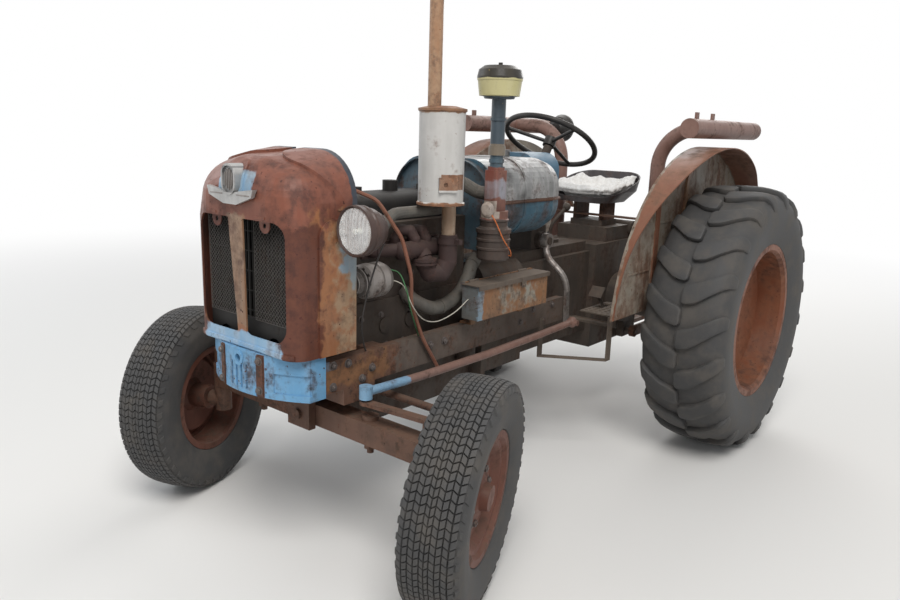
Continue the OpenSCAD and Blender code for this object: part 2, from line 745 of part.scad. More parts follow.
// Frame rails with the cross block that carries the front axle
module side_rails() {
    color("#6d4532") {
        both_sides() {
            block([rail_out - rail_t, rail_front, rail_z], [rail_out, rail_rear, rail_z + rail_h]);
            for (z = [rail_z, rail_z + rail_h - rail_t])
                block([rail_out - rail_flange, rail_front, z], [rail_out, rail_rear, z + rail_t]);
            for (m = [[engine_half, engine_front + 60], [gear_half, -60]])
                block([m[0], m[1] - 40, rail_z + rail_t], [rail_out - rail_t, m[1] + 40, rail_z + rail_h - rail_t]);
        }
        block([-rail_out, axle_block_front, rail_z - 58], [rail_out, axle_block_rear, rail_z]);
        for (y = [axle_block_front, axle_block_rear - 30])
            block([-60, y, beam_z - 50], [60, y + 30, rail_z - 58]);
        pin_y(axle_block_front - 12, axle_block_rear - axle_block_front + 24, 0, beam_z, pivot_r);
    }
}

module front_axle() {
    beam_end = kingpin_x - 20;
    color("#7a4531") difference() {
        union() {
            block([-beam_end, front_axle_y - beam_d / 2, beam_z - beam_h / 2],
                [beam_end, front_axle_y + beam_d / 2, beam_z + beam_h / 2]);
            for (s = side_list) {
                translate([s * kingpin_x, front_axle_y, boss_low]) cylinder(h = boss_high - boss_low, r = 37, $fn = 48);
                // clamp bolt with its head and nut
                translate([s * 300, front_axle_y, beam_z - beam_h / 2 - 42]) cylinder(h = beam_h + 62, r = 12, $fn = 24);
                translate([s * 300, front_axle_y, beam_z + beam_h / 2]) cylinder(h = 16, r = 30, $fn = 32);
                translate([s * 300, front_axle_y, beam_z - beam_h / 2 - 26]) cylinder(h = 26, r = 22, $fn = 6);
            }
        }
        for (s = side_list) translate([s * kingpin_x, front_axle_y, boss_low - 1])
            cylinder(h = boss_high - boss_low + 2, r = kingpin_r + fit, $fn = 48);
        pin_y(front_axle_y - beam_d, 2 * beam_d, 0, beam_z, pivot_r + fit);
        // channel behind the beam
        for (s = side_list) translate([s * (beam_end / 2 + 60), 0, 0])
            block([-170, front_axle_y + 8, beam_z - beam_h / 2 + 12], [170, front_axle_y + beam_d, beam_z + beam_h / 2 - 12]);
    }
}

// Kingpin, stub axle and track rod arm, drawn about the kingpin and turned with the wheels
module knuckle(s, camber) {
    front_z = wheel_height(camber);
    translate([s * kingpin_x, front_axle_y, 0]) rotate([0, 0, steer]) {
        translate([0, 0, boss_high + seat_gap])
            cylinder(h = kingpin_top - boss_high - seat_gap, r = kingpin_r + 10, $fn = 32);
        translate([0, 0, front_z - 40]) cylinder(h = kingpin_top - front_z + 40, r = kingpin_r, $fn = 48);
        translate([0, 0, front_z - 40]) cylinder(h = boss_low - seat_gap - front_z + 40, r = 33, $fn = 48);
        mirror([s < 0 ? 1 : 0, 0, 0]) translate([front_offset, 0, front_z]) rotate([0, 90 + camber, 0]) {
            translate([0, 0, -front_offset]) cylinder(h = front_offset - hub_in - 6, r = 32, $fn = 48);
            translate([0, 0, -hub_in - 8]) cylinder(h = hub_in + 8 + 42, r = spindle_r, $fn = 48);
        }
        // track rod arm with its upright pin
        block([-16, 0, rod_arm_z], [16, rod_arm, rod_arm_z + 14]);
        translate([0, rod_arm, rod_arm_z]) cylinder(h = 14, r = 20, $fn = 32);
        translate([0, rod_arm, rod_arm_z]) cylinder(h = 44, r = rod_pin_r, $fn = 48);
    }
}

module knuckle_left() {
    color("#6b5145") {
        knuckle(1, camber_left);
        translate([kingpin_x, front_axle_y, 0]) rotate([0, 0, 180 + steer_arm_angle]) {
            block([0, -17, steer_arm_z - 7], [steer_arm, 17, steer_arm_z + 7]);
            translate([steer_arm, 0, steer_arm_z - 7]) cylinder(h = 14, r = 21, $fn = 32);
            translate([steer_arm, 0, steer_arm_z - 7]) cylinder(h = drag_z - steer_arm_z - drag_link_r - 5, r = 9, $fn = 32);
        }
    }
}

module knuckle_right() {
    color("#6b5145") knuckle(-1, camber_right);
}

module track_rod() {
    color("#4c3b33") difference() {
        union() {
            bar([rod_left[0], rod_left[1], track_rod_z], [rod_right[0], rod_right[1], track_rod_z], track_rod_r);
            for (p = [rod_left, rod_right]) translate([p[0], p[1], track_rod_z - 14]) cylinder(h = 28, r = 21, $fn = 32);
        }
        for (p = [rod_left, rod_right]) translate([p[0], p[1], track_rod_z - 20])
            cylinder(h = 40, r = rod_pin_r + fit, $fn = 48);
    }
}

module drag_link() {
    front = [drag_front[0], drag_front[1], drag_z];
    rear = [ball_x, ball_y, drag_z];
    color("#a5725f") difference() {
        union() {
            tube([front, front + [0, 300, -9], (front + rear) / 2 - [0, 0, 14], rear - [0, 300, 9], rear],
                drag_link_r, [1, 0, 0], 16);
            translate([front[0], front[1], drag_z - drag_link_r - 7]) cylinder(h = 2 * drag_link_r + 14, r = 23, $fn = 32);
            translate(rear) sphere(r = ball_r + 10, $fn = 48);
            pin_x(ball_x, 32, ball_y, drag_z, 14);
        }
        translate(rear) sphere(r = ball_r + 0.1, $fn = 48);
        pin_x(ball_x - 40, 40, ball_y, drag_z, 13);
    }
}

module drop_arm() {
    color("#71675f") difference() {
        union() {
            pin_x(drop_x, 32, drop_y, drop_z, 36);
            tube(eased([[drop_x + 16, drop_y, drop_z], [drop_x + 30, drop_y - 20, drop_z - 70],
                [arm_x + 6, drop_y + 4, drop_z - 160], [arm_x + 6, ball_y - 10, drop_z - 232]], 45),
                15, [0, 1, 0.1], 12);
            along_x(arm_x, 11) polygon([[ball_y - 17, drag_z], [ball_y - 27, drop_z - 225],
                [ball_y + 7, drop_z - 225], [ball_y + 17, drag_z]]);
            pin_x(arm_x, 11, ball_y, drag_z, 18);
            pin_x(arm_x + 5, ball_x - arm_x - 5, ball_y, drag_z, 8);
            translate([ball_x, ball_y, drag_z]) sphere(r = ball_r, $fn = 48);
        }
        pin_x(drop_x - 1, 50, drop_y, drop_z, drop_shaft_r + fit);
    }
}

module column_frame() {
    translate([0, wheel_y, wheel_z]) rotate([-column_lean, 0, 0]) children();
}

module steering_column() {
    color("#4a423c") {
        block([-70, drop_y - 62, gearbox_top], [drop_x - 30, drop_y + 62, drop_z + 66]);
        pin_x(drop_x - 100, 138, drop_y, drop_z, drop_shaft_r);
        pin_x(drop_x - 30, 26, drop_y, drop_z, 40);
        column_frame() {
            translate([0, 0, -column_len]) cylinder(h = column_len - 34, r = 22, $fn = 32);
            translate([0, 0, -60]) cylinder(h = 70, r = 11, $fn = 32);
        }
    }
}

module steering_wheel() {
    color("#26211f") column_frame() difference() {
        union() {
            rotate_extrude($fn = 72) translate([wheel_r, 0]) circle(r = 13, $fn = 24);
            translate([0, 0, -30]) cylinder(h = 44, r = 30, $fn = 32);
            for (k = [0 : 2]) rotate([0, 0, 90 + 120 * k]) bar([0, 0, -8], [wheel_r, 0, 0], 9);
        }
        translate([0, 0, -31]) cylinder(h = 42, r = 11 + fit, $fn = 32);
    }
}

// Wheels, drawn with local Z along the axle, outwards
module at_front_left() {
    translate([kingpin_x, front_axle_y, wheel_height(camber_left)]) rotate([0, 0, steer])
        translate([front_offset, 0, 0]) rotate([0, 90 + camber_left, 0]) children();
}

module at_front_right() {
    translate([-kingpin_x, front_axle_y, wheel_height(camber_right)]) rotate([0, 0, steer]) mirror([1, 0, 0])
        translate([front_offset, 0, 0]) rotate([0, 90 + camber_right, 0]) children();
}

module at_rear_left() {
    translate([rear_x, rear_axle_y, rear_z]) rotate([0, 90, 0]) children();
}

// Ring with the outer half profile and the inner one, both mirrored
module tyre(outer, inner) {
    rotate_extrude($fn = 120) polygon(concat(
        [for (i = [len(outer) - 1 : -1 : 1]) [outer[i][0], -outer[i][1]]], outer, inner,
        [for (i = [len(inner) - 2 : -1 : 0]) [inner[i][0], -inner[i][1]]]));
}

module front_tyre() {
    color("#2b2a29") tyre(front_profile, front_inside);
}

module front_rim() {
    color("#8a4a35") difference() {
        rotate_extrude($fn = 96) polygon([[spindle_r + fit, -hub_in], [50, -hub_in], [50, 18], [70, 34],
            [front_seat_r - 53, 20], [front_seat_r - 25, 44], [front_seat_r - 11, 40], [front_seat_r - 11, -66],
            [front_seat_r - 7, -78], [front_rim_r, -78], [front_rim_r, -72], [front_seat_r, -66],
            [front_seat_r, 66], [front_rim_r, 72], [front_rim_r, 78], [front_seat_r - 7, 78], [front_seat_r - 17, 64],
            [front_seat_r - 33, 62], [front_seat_r - 57, 34], [70, 46], [48, 56], [42, 84], [0, 84], [0, 60],
            [spindle_r + fit, 60]]);
    }
}

module rear_tyre() {
    color("#2e2d2c") {
        tyre(rear_profile, rear_inside);
        // lugs: prisms on both halves, cut to the tread's outer form
        intersection() {
            rotate_extrude($fn = 120) polygon([[rear_r - 62, -lug_edge], [rear_r - 22, -172], [rear_r, -110],
                [rear_r, 110], [rear_r - 22, 172], [rear_r - 62, lug_edge]]);
            union() for (s = side_list, k = [0 : lug_count - 1])
                rotate([0, 0, 360 / lug_count * (k + (s < 0 ? 0.5 : 0))])
                    along_x(rear_r - 58, 66) polygon([for (p = lug_outline) [-p[0], s * p[1]]]);
        }
    }
}

module rear_rim() {
    color("#a0522d") rotate_extrude($fn = 120) polygon([[0, axle_in], [axle_r, axle_in], [axle_r, hub_face],
        [80, hub_face], [80, dish_z - 10], [150, dish_z - 10], [rear_seat_r - 25, dish_z + 50],
        [rear_seat_r - 13, dish_z + 48], [rear_seat_r - 13, -148], [rear_seat_r - 5, -166], [rear_rim_r, -166],
        [rear_rim_r, -158], [rear_seat_r, -152], [rear_seat_r, 152], [rear_rim_r, 158], [rear_rim_r, 166],
        [rear_seat_r - 5, 166], [rear_seat_r - 17, 148], [rear_seat_r - 25, dish_z + 62], [150, dish_z + 4],
        [90, dish_z + 4], [76, dish_z + 40], [0, dish_z + 40]]);
}

module front_tyre_left() { at_front_left() front_tyre(); }
module front_rim_left() { at_front_left() front_rim(); }
module front_tyre_right() { at_front_right() front_tyre(); }
module front_rim_right() { at_front_right() front_rim(); }
module rear_tyre_left() { at_rear_left() rear_tyre(); }
module rear_rim_left() { at_rear_left() rear_rim(); }
module rear_tyre_right() { mirror([1, 0, 0]) at_rear_left() rear_tyre(); }
module rear_rim_right() { mirror([1, 0, 0]) at_rear_left() rear_rim(); }

// Transmission
module gearbox_housing() {
    color("#5b524a") {
        along_y(engine_rear, 30) arch(bell_half, 470, gearbox_top, 90);
        along_y(engine_rear, 330) arch(bell_half - 22, 485, gearbox_top - 14, 80);
        block([-gear_half, engine_rear + 300, 500], [gear_half, axle_case_front, gearbox_top - 50]);
        block([-110, engine_rear + 300, gearbox_top - 60], [110, axle_case_front, gearbox_top]);
    }
}

module rear_axle_housing() {
    color("#574f47") {
        block([-170, axle_case_front, 410], [170, axle_case_rear, lift_base_z]);
        difference() {
            union() for (s = side_list) {
                pin_x(s > 0 ? 170 : -trumpet_end, trumpet_end - 170, rear_axle_y, rear_z, trumpet_r);
                pin_x(s > 0 ? 170 : -240, 70, rear_axle_y, rear_z, 135);
                block([s > 0 ? 250 : -540, rear_axle_y - 60, rear_z], [s > 0 ? 540 : -250, rear_axle_y + 60, pad_z]);
            }
            pin_x(-trumpet_end - 1, trumpet_end * 2 + 2, rear_axle_y, rear_z, axle_r + fit);
        }
        // lower link pins
        both_sides() {
            block([170, link_y - 40, link_z - 35], [210, link_y + 40, link_z + 60]);
            pin_x(200, link_x + 22 - 200, link_y, link_z, 14);
        }
        // power take-off
        pin_y(axle_case_rear, 20, 0, pto_z, 55);
        pin_y(axle_case_rear, 96, 0, pto_z, pto_r);
        // top link bracket
        difference() {
            for (x = [-30, 18]) block([x, axle_case_rear - 20, 800], [x + 12, axle_case_rear + 70, 900]);
            pin_x(-40, 80, axle_case_rear + 40, 850, 12.7);
        }
    }
}

module lift_cover() {
    color("#5e564d") difference() {
        union() {
            block([-150, rear_axle_y - 140, lift_base_z], [150, lift_y + 50, lift_z + 25]);
            pin_x(-168, 336, lift_y, lift_z, 44);
            block([-95, rear_axle_y - 100, lift_z + 25], [95, rear_axle_y + 70, lift_top_z]);
        }
        pin_x(-169, 338, lift_y, lift_z, lift_shaft_r + fit);
    }
}

// Tank, bulkhead and dash
module tank_form(grow = 0) {
    hull() for (m = tank_sections)
        translate([0, 0, (tank_low + tank_top) / 2])
            along_y(m[0] - grow, 6 + 2 * grow) round_rect(2 * (m[1] + grow), 2 * (m[2] + grow), m[3] + grow);
}

module fuel_tank() {
    color("#7f97a8") {
        tank_form();
        // seam flange all round, weld band and filler
        intersection() {
            tank_form(7);
            block([-400, bulkhead_y + bulkhead_t + 2, tank_seam_z], [400, 100, tank_seam_z + 5]);
        }
        along_y(-330, 12) translate([0, (tank_low + tank_top) / 2])
            round_rect(2 * tank_half + 5, tank_top - tank_low + 5, 126);
        translate([0, -150, tank_top - 8]) cylinder(h = 30, r = 36, $fn = 48);
        translate([0, -150, tank_top + 22]) cylinder(h = 8, r = 42, $fn = 6);
    }
}

module bulkhead() {
    color("#5f88a8") {
        along_y(bulkhead_y, bulkhead_t) arch(262, 1040, 1405, 165);
        difference() {
            along_y(bulkhead_y - 24, 24) arch(262, 1070, 1405, 165);
            along_y(bulkhead_y - 25, 26) arch(258, 1060, 1401, 161);
        }
        // feet on the bell housing
        both_sides() {
            block([60, bulkhead_y, gearbox_top], [95, bulkhead_y + bulkhead_t, 1060]);
            block([60, bulkhead_y, gearbox_top], [95, engine_rear + 60, gearbox_top + 8]);
        }
    }
}

module dash_cowl() {
    color("#4e86b4") difference() {
        along_y(-60, 205) arch(128, 1262, 1428, 82);
        tank_form();
        column_frame() translate([0, 0, -column_len]) cylinder(h = column_len + 40, r = 25, $fn = 32);
    }
}

module air_cleaner() {
    color("#5a4a42") {
        translate([air_x, air_y, 1030]) rotate_extrude($fn = 64) polygon([[0, 0], [56, 0], [64, 8], [64, 40], [67, 43],
            [67, 50], [64, 53], [64, 74], [67, 77], [67, 84], [64, 87], [64, 104], [69, 108], [69, 122], [60, 124],
            [54, 132], [54, 150], [57, 153], [57, 160], [54, 163], [54, 192], [0, 192]]);
        // box above the bowl with round corners, its neck and the clamp on it
        translate([air_x, air_y, 1210]) linear_extrude(166) round_rect(2 * can_half, 2 * can_half + 10, 8);
        translate([air_x, air_y, 1376]) linear_extrude(14) round_rect(2 * can_half - 10, 2 * can_half, 14);
        translate([air_x, air_y, 1390]) cylinder(h = 50, r = 25, $fn = 48);
        translate([air_x, air_y, 1404]) cylinder(h = 14, r = 29, $fn = 48);
        // round cap on the front of the box
        pin_y(air_y - can_half - 20, 20, air_x + 6, 1228, 18);
        translate([air_x + 6, air_y - can_half - 36, 1228]) rotate([-90, 0, 0]) rotate_extrude($fn = 48)
            polygon([[0, 0], [20, 2], [29, 9], [30, 16], [0, 16]]);
        // strap that holds it to the bulkhead
        block([262, air_y + 20, 1085], [air_x, bulkhead_y, 1135]);
    }
}

module precleaner() {
    color("#c9bf7a") {
        translate([air_x, air_y, 1440]) cylinder(h = 200, r = 27, $fn = 48);
        translate([air_x, air_y, 1432]) difference() {
            cylinder(h = 30, r = 32, $fn = 48);
            translate([0, 0, -1]) cylinder(h = 9, r = 25 + fit, $fn = 48);
        }
        for (z = [1458, 1560]) translate([air_x, air_y, z]) cylinder(h = 10, r = 31, $fn = 48);
        translate([air_x, air_y, 1640]) rotate_extrude($fn = 64)
            polygon([[0, 0], [56, 0], [60, 8], [76, 10], [83, 64], [85, 66], [86, 78], [80, 104], [60, 118],
                [0, 122]]);
        translate([air_x, air_y, 1760]) cylinder(h = 10, r = 8, $fn = 24);
    }
}

// Toolbox with a lid on a hinge rod along its inner edge
module toolbox() {
    color("#9a6a45") {
        difference() {
            block([box_x0, box_y0, box_z0], [box_x1, box_y1, box_z1]);
            block([box_x0 + 3, box_y0 + 3, box_z0 + 3], [box_x1 - 3, box_y1 - 3, box_z1 + 1]);
        }
        for (y = [box_y0, (box_y0 + box_y1) / 2 - 10, box_y1 - 20])
            block([hinge_x - 4, y, box_z1 - 18], [box_x0, y + 20, hinge_z + 4]);
        pin_y(box_y0, box_y1 - box_y0, hinge_x, hinge_z, hinge_r);
        for (y = [box_y0 + 60, box_y1 - 90]) {
            block([box_x0 - 8, y, rail_z + rail_h], [box_x0, y + 30, box_z0 + 40]);
            block([rail_out - 32, y, rail_z + rail_h], [box_x0, y + 30, rail_z + rail_h + 8]);
        }
    }
}

module toolbox_lid() {
    color("#8a8478") {
        difference() {
            union() {
                block([hinge_x + 9, box_y0 - 7, box_z1 + seat_gap], [box_x1 + 8, box_y1 + 7, box_z1 + 3.3]);
                block([box_x1 + 5, box_y0 - 7, box_z1 - 15], [box_x1 + 8, box_y1 + 7, box_z1 + 1]);
                for (y = hinge_sleeves) {
                    pin_y(y, hinge_sleeve, hinge_x, hinge_z, 7);
                    block([hinge_x, y, box_z1 + seat_gap], [hinge_x + 10, y + hinge_sleeve, box_z1 + 3.3]);
                }
            }
            pin_y(box_y0 - 5, box_y1 - box_y0 + 10, hinge_x, hinge_z, hinge_r + fit);
        }
        // hasp on the outer edge
        block([box_x1 + 8, latch_y - 11, box_z1 - 38], [box_x1 + 11, latch_y + 11, box_z1 - 2]);
        pin_x(box_x1 + 9, 9, latch_y, box_z1 - 30, 7);
    }
}

module footplates() {
    color("#5f534b") both_sides() {
        difference() {
            block([plate_x0, plate_y0, plate_z], [plate_x1, plate_y1, plate_z + 6]);
            for (i = [0 : 5], j = [0 : 6])
                translate([plate_x0 + 20 + 28 * i, plate_y0 + 24 + 34 * j, plate_z - 1]) cylinder(h = 8, r = 8, $fn = 16);
            block([pedal_x - 18, 185, plate_z - 1], [pedal_x + 18, 275, plate_z + 7]);
        }
        block([gear_half, 265, 600], [plate_x0 + 70, 300, 610]);
        block([plate_x0 + 60, 265, 600], [plate_x0 + 70, 300, plate_z]);
        block([plate_x1 - 12, plate_y0 - 40, 505], [plate_x1 - 6, plate_y0, plate_z + 6]);
        hull() {
            block([rail_out, -145, 505], [rail_out + 6, -110, 511]);
            block([plate_x1 - 12, plate_y0 - 40, 505], [plate_x1 - 6, plate_y0 - 5, 511]);
        }
        block([rail_out, -145, 505], [rail_out + 6, -110, rail_z + 40]);
    }
}

// Fenders
module fenders() {
    color("#a3897a") both_sides() {
        intersection() {
            along_x(fender_x, fender_t) translate([rear_axle_y, rear_z]) circle(r = fender_r - 2, $fn = 120);
            along_x(fender_x, fender_t) polygon([[-100, 715], [420, 715], [630, pad_z + 10], [rear_axle_y + 130, pad_z + 10],
                [1380, 1010], [1500, 1500], [-100, 1500]]);
        }
        // crown, narrow at the foot and full over the wheel
        intersection() {
            wheel_ring(118, 147) translate([fender_r - fender_t, fender_x]) square([fender_t, crown_w + 8]);
            translate([0, 0, rear_z - 100]) linear_extrude(fender_r + 200) polygon(eased([for (p = crown_edge)
                [fender_x + p[1], rear_axle_y + p[0]]], 60, 6));
        }
        // pressed ribs: upright, round and level ones, and the foot on the axle
        block([fender_x + fender_t, rear_axle_y - 470, 790], [fender_x + fender_t + 13, rear_axle_y - 430, 1296]);
        block([fender_x + fender_t, rib_y, pad_z + 30], [fender_x + fender_t + 13, rib_y + rib_w, rib_z]);
        along_x(fender_x + fender_t, 13) intersection() {
            difference() {
                translate([rib_y + rib_bend, rib_z]) circle(r = rib_bend, $fn = 96);
                translate([rib_y + rib_bend, rib_z]) circle(r = rib_bend - rib_w, $fn = 96);
            }
            translate([rib_y, rib_z - 1]) square([rib_bend, rib_bend]);
        }
        for (z = [905, 1120]) {
            block([fender_x + fender_t, rear_axle_y - 690, z], [fender_x + fender_t + 4, rear_axle_y - 480, z + 8]);
            block([fender_x + fender_t, rear_axle_y - 420, z], [fender_x + fender_t + 4, rear_axle_y - 260, z + 8]);
        }
        block([470, rear_axle_y - 55, pad_z], [fender_x, rear_axle_y + 55, pad_z + 8]);
        block([fender_x - 8, rear_axle_y - 55, pad_z], [fender_x, rear_axle_y + 55, pad_z + 90]);
    }
}

// Ring about the rear axle, from an angle that starts at the rear
module wheel_ring(start, sweep) {
    translate([0, rear_axle_y, rear_z]) rotate([0, 90, 0]) rotate([0, 0, start])
        rotate_extrude(angle = sweep, $fn = 120) children();
}

// Seat
module pan_form(inset) {
    hull() {
        translate([0, seat_y - 20, seat_z + inset]) linear_extrude(4) round_rect(310 - 2 * inset, 290 - 2 * inset, 90);
        translate([0, seat_y, seat_z + 60]) linear_extrude(4)
            round_rect(2 * seat_half - 40 - 2 * inset, 340 - 2 * inset, 120);
        translate([0, seat_y + 12, seat_z + 160]) linear_extrude(4 + inset)
            round_rect(2 * (seat_half - inset), 352 - 2 * inset, 130);
    }
}

module seat_pan() {
    color("#4a3a33") difference() {
        pan_form(0);
        pan_form(3.5);
        translate([0, seat_y, seat_z + 88]) rotate([20, 0, 0]) translate([-400, -400, 0]) cube([800, 800, 400]);
    }
}

module seat_fleece() {
    color("#e8e6e0") intersection() {
        pan_form(3.5 + seat_gap);
        block([-400, seat_y - 150, seat_z], [400, seat_y + 160, seat_z + 34]);
    }
}

module seat_bracket() {
    color("#4f3f36") {
        block([-90, seat_y - 60, lift_top_z], [-70, seat_y + 80, seat_z]);
        block([70, seat_y - 60, lift_top_z], [90, seat_y + 80, seat_z]);
        block([-90, seat_y - 60, seat_z - 12], [90, seat_y + 80, seat_z]);
        block([-300, seat_y - 90, lift_top_z + 26], [300, seat_y - 60, lift_top_z + 36]);
    }
}

// Pipe frame over the axle, with round side pipes above the fenders
module pipe_frame() {
    color("#8a5a4a") both_sides() {
        translate([post_x, post_y, pad_z + 12]) cylinder(h = post_bend_z - pad_z - 12, r = post_r, $fn = 48);
        translate([post_x + post_bend, post_y, post_bend_z]) rotate([90, 0, 0]) rotate([0, 0, 90])
            rotate_extrude(angle = 90, $fn = 96) translate([post_bend, 0]) circle(r = post_r, $fn = 48);
        pin_x(post_x + post_bend, pipe_out - post_x - post_bend - 20, post_y, post_bend_z + post_bend, post_r);
        pin_y(pipe_front, pipe_rear - pipe_front, pipe_out, post_bend_z + post_bend, pipe_r);
        block([post_x - 50, rear_axle_y - 60, pad_z], [post_x + 50, post_y + 45, pad_z + 12]);
        // lugs
        for (y = [pipe_front + 60, pipe_front + 250]) block([pipe_out - 5, y, post_bend_z + post_bend],
            [pipe_out + 5, y + 30, post_bend_z + post_bend + pipe_r + 28]);
    }
}

module work_lamp() {
    color("#3a3532") {
        translate([-388, post_y + 140, 1549]) rotate([90, 0, 0]) rotate_extrude($fn = 48)
            polygon([[0, 0], [66, 0], [80, 6], [80, 20], [66, 60], [30, 84], [0, 88]]);
        pin_y(post_y + post_r + seat_gap, 60, -388, 1526, 8);
    }
}

// Three-point linkage
module lift_arms() {
    color("#6a5648") {
        pin_x(-200, 400, lift_y, lift_z, lift_shaft_r);
        both_sides() {
            pin_x(lift_arm_x, 18, lift_y, lift_z, 40);
            pin_x(lift_arm_x, 18, lift_end_y, lift_end_z, 26);
            pin_x(lift_arm_x, 58, lift_end_y, lift_end_z, rod_eye_r);
            translate([lift_arm_x + 2, lift_y, lift_z]) rotate([lift_angle, 0, 0])
                translate([0, 0, -24]) cube([14, lift_arm, 48]);
        }
    }
}

module lift_rods() {
    color("#5d544d") both_sides() difference() {
        union() {
            pin_x(rod_x - 12, 24, lift_end_y, lift_end_z, 24);
            bar([rod_x, lift_end_y, lift_end_z], [rod_x, lift_end_y, rod_low_z], 13);
            translate([rod_x, lift_end_y, rod_low_z + 120]) cylinder(h = 200, r = 20, $fn = 32);
            pin_x(rod_x - 12, 24, lift_end_y, rod_low_z, 24);
        }
        pin_x(rod_x - 20, 40, lift_end_y, lift_end_z, rod_eye_r + fit);
        pin_x(rod_x - 20, 40, lift_end_y, rod_low_z, 12);
    }
}

module lower_links() {
    color("#6d5c4e") both_sides() difference() {
        union() {
            pin_x(link_x - 14, 28, link_y, link_z, 32);
            block([link_x - 7, link_y, link_z - 30], [link_x + 7, link_y + link_len, link_z + 30]);
            pin_x(link_x - 22, 44, link_y + link_len, link_z, 34);
            pin_x(link_x - 14, 8, lift_end_y, link_z, 14);
        }
        pin_x(link_x - 30, 60, link_y, link_z, 14 + fit);
        pin_x(link_x - 30, 60, link_y + link_len, link_z, link_bore);
    }
}

module drawbar() {
    color("#5b4a40") difference() {
        union() {
            block([-38, rear_axle_y - 120, 372], [38, drawbar_y + 50, 397]);
            for (y = [rear_axle_y - 100, axle_case_rear - 60]) block([-60, y, 397], [60, y + 40, 410]);
        }
        translate([0, drawbar_y, 360]) cylinder(h = 50, r = drawbar_bore, $fn = 48);
    }
}

// Pedals and gear lever
module controls() {
    color("#4b443f") {
        both_sides() {
            pin_x(gear_half, 250, 352, 590, 12);
            tube(eased([[pedal_x, 352, 590], [pedal_x, 250, 680], [pedal_x, 150, 790]], 30), 9, [1, 0, 0], 8);
            translate([pedal_x, 150, 790]) rotate([50, 0, 0]) translate([-34, -30, -4]) cube([68, 60, 8]);
        }
        tube(eased([[0, 300, gearbox_top + 5], [0, 302, 1060], [30, 400, 1150]], 40), 9, [1, 0, 0], 8);
        translate([30, 400, 1150]) sphere(r = 21, $fn = 24);
        translate([0, 300, gearbox_top]) cylinder(h = 16, r = 46, $fn = 32);
    }
}

engine_block();
rocker_cover();
exhaust_manifold();
exhaust_stack();
intake_pipe();
radiator();
fan();
alternator();
nose_shell();
nose_casting();
badge();
headlamps();
headlamp_lenses();
overflow_pipe();
side_rails();
front_axle();
knuckle_left();
knuckle_right();
track_rod();
drag_link();
drop_arm();
steering_column();
steering_wheel();
front_tyre_left();
front_rim_left();
front_tyre_right();
front_rim_right();
rear_tyre_left();
rear_rim_left();
rear_tyre_right();
rear_rim_right();
gearbox_housing();
rear_axle_housing();
lift_cover();
fuel_tank();
bulkhead();
dash_cowl();
air_cleaner();
precleaner();
toolbox();
toolbox_lid();
footplates();
fenders();
seat_pan();
seat_bracket();
seat_fleece();
pipe_frame();
work_lamp();
lift_arms();
lift_rods();
lower_links();
drawbar();
controls();
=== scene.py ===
# %% [markdown]
# # An old farm tractor, dressed for the studio
# The frame that this script loads is the tractor's real shape: engine, axles, wheels, tank and so on, each a named
# node that moves with its own joint. Here it gets what a photograph of it would show: worn paint, rust, dust, rubber
# that has seen the sun, road tread, bolts, wires, wire mesh and a white fleece on the seat.

# %% Load the frame
import json
import math

import bpy
import bmesh
from mathutils import Matrix, Vector
from mathutils import noise as wool_noise

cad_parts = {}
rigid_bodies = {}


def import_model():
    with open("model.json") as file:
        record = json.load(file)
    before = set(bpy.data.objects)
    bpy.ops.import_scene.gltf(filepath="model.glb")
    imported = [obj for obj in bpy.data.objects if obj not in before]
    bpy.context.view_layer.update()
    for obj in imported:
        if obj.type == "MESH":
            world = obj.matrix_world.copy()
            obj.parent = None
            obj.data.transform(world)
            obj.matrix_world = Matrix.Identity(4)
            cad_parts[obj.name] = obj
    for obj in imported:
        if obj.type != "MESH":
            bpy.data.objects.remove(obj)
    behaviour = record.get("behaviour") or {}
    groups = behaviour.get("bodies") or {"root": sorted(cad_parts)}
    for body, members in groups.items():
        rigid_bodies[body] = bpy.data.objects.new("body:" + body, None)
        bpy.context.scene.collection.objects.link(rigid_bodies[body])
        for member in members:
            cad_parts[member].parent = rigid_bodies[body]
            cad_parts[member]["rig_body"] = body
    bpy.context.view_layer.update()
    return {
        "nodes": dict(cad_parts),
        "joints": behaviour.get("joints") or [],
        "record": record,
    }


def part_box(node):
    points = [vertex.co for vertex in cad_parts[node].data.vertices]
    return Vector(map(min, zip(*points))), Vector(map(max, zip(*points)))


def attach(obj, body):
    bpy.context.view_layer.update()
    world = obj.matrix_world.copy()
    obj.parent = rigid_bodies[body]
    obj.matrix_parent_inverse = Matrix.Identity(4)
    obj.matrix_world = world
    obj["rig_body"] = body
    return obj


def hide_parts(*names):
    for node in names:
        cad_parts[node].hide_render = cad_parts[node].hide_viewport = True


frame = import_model()
nodes = frame["nodes"]
bpy.ops.object.select_all(action="DESELECT")

# %% [markdown]
# ## Camera
# The picture was taken standing a little in front of the left front wheel, at about head height, looking slightly
# down. Its place, direction and focal length were worked out from the wheels, whose sizes are known. The camera's own
# axes are built from the heading, the tilt and the small roll, and set as one matrix.

# %% Camera
PHOTO_WIDTH = 900
SENSOR_MM = 36.0
FOCAL_PX = 757.25
EYE = Vector((2.0676, -3.0142, 1.5227))
HEADING, TILT, ROLL = (math.radians(a) for a in (39.343, 12.693, 1.762))


def camera_axes(heading, tilt, roll):
    """Forward, right and up of a camera that looks along +Y at heading 0."""
    forward = Vector((-math.sin(heading) * math.cos(tilt), math.cos(heading) * math.cos(tilt), -math.sin(tilt)))
    level = Vector((math.cos(heading), math.sin(heading), 0))
    over = level.cross(forward)
    right = level * math.cos(roll) + over * math.sin(roll)
    up = over * math.cos(roll) - level * math.sin(roll)
    return forward, right, up


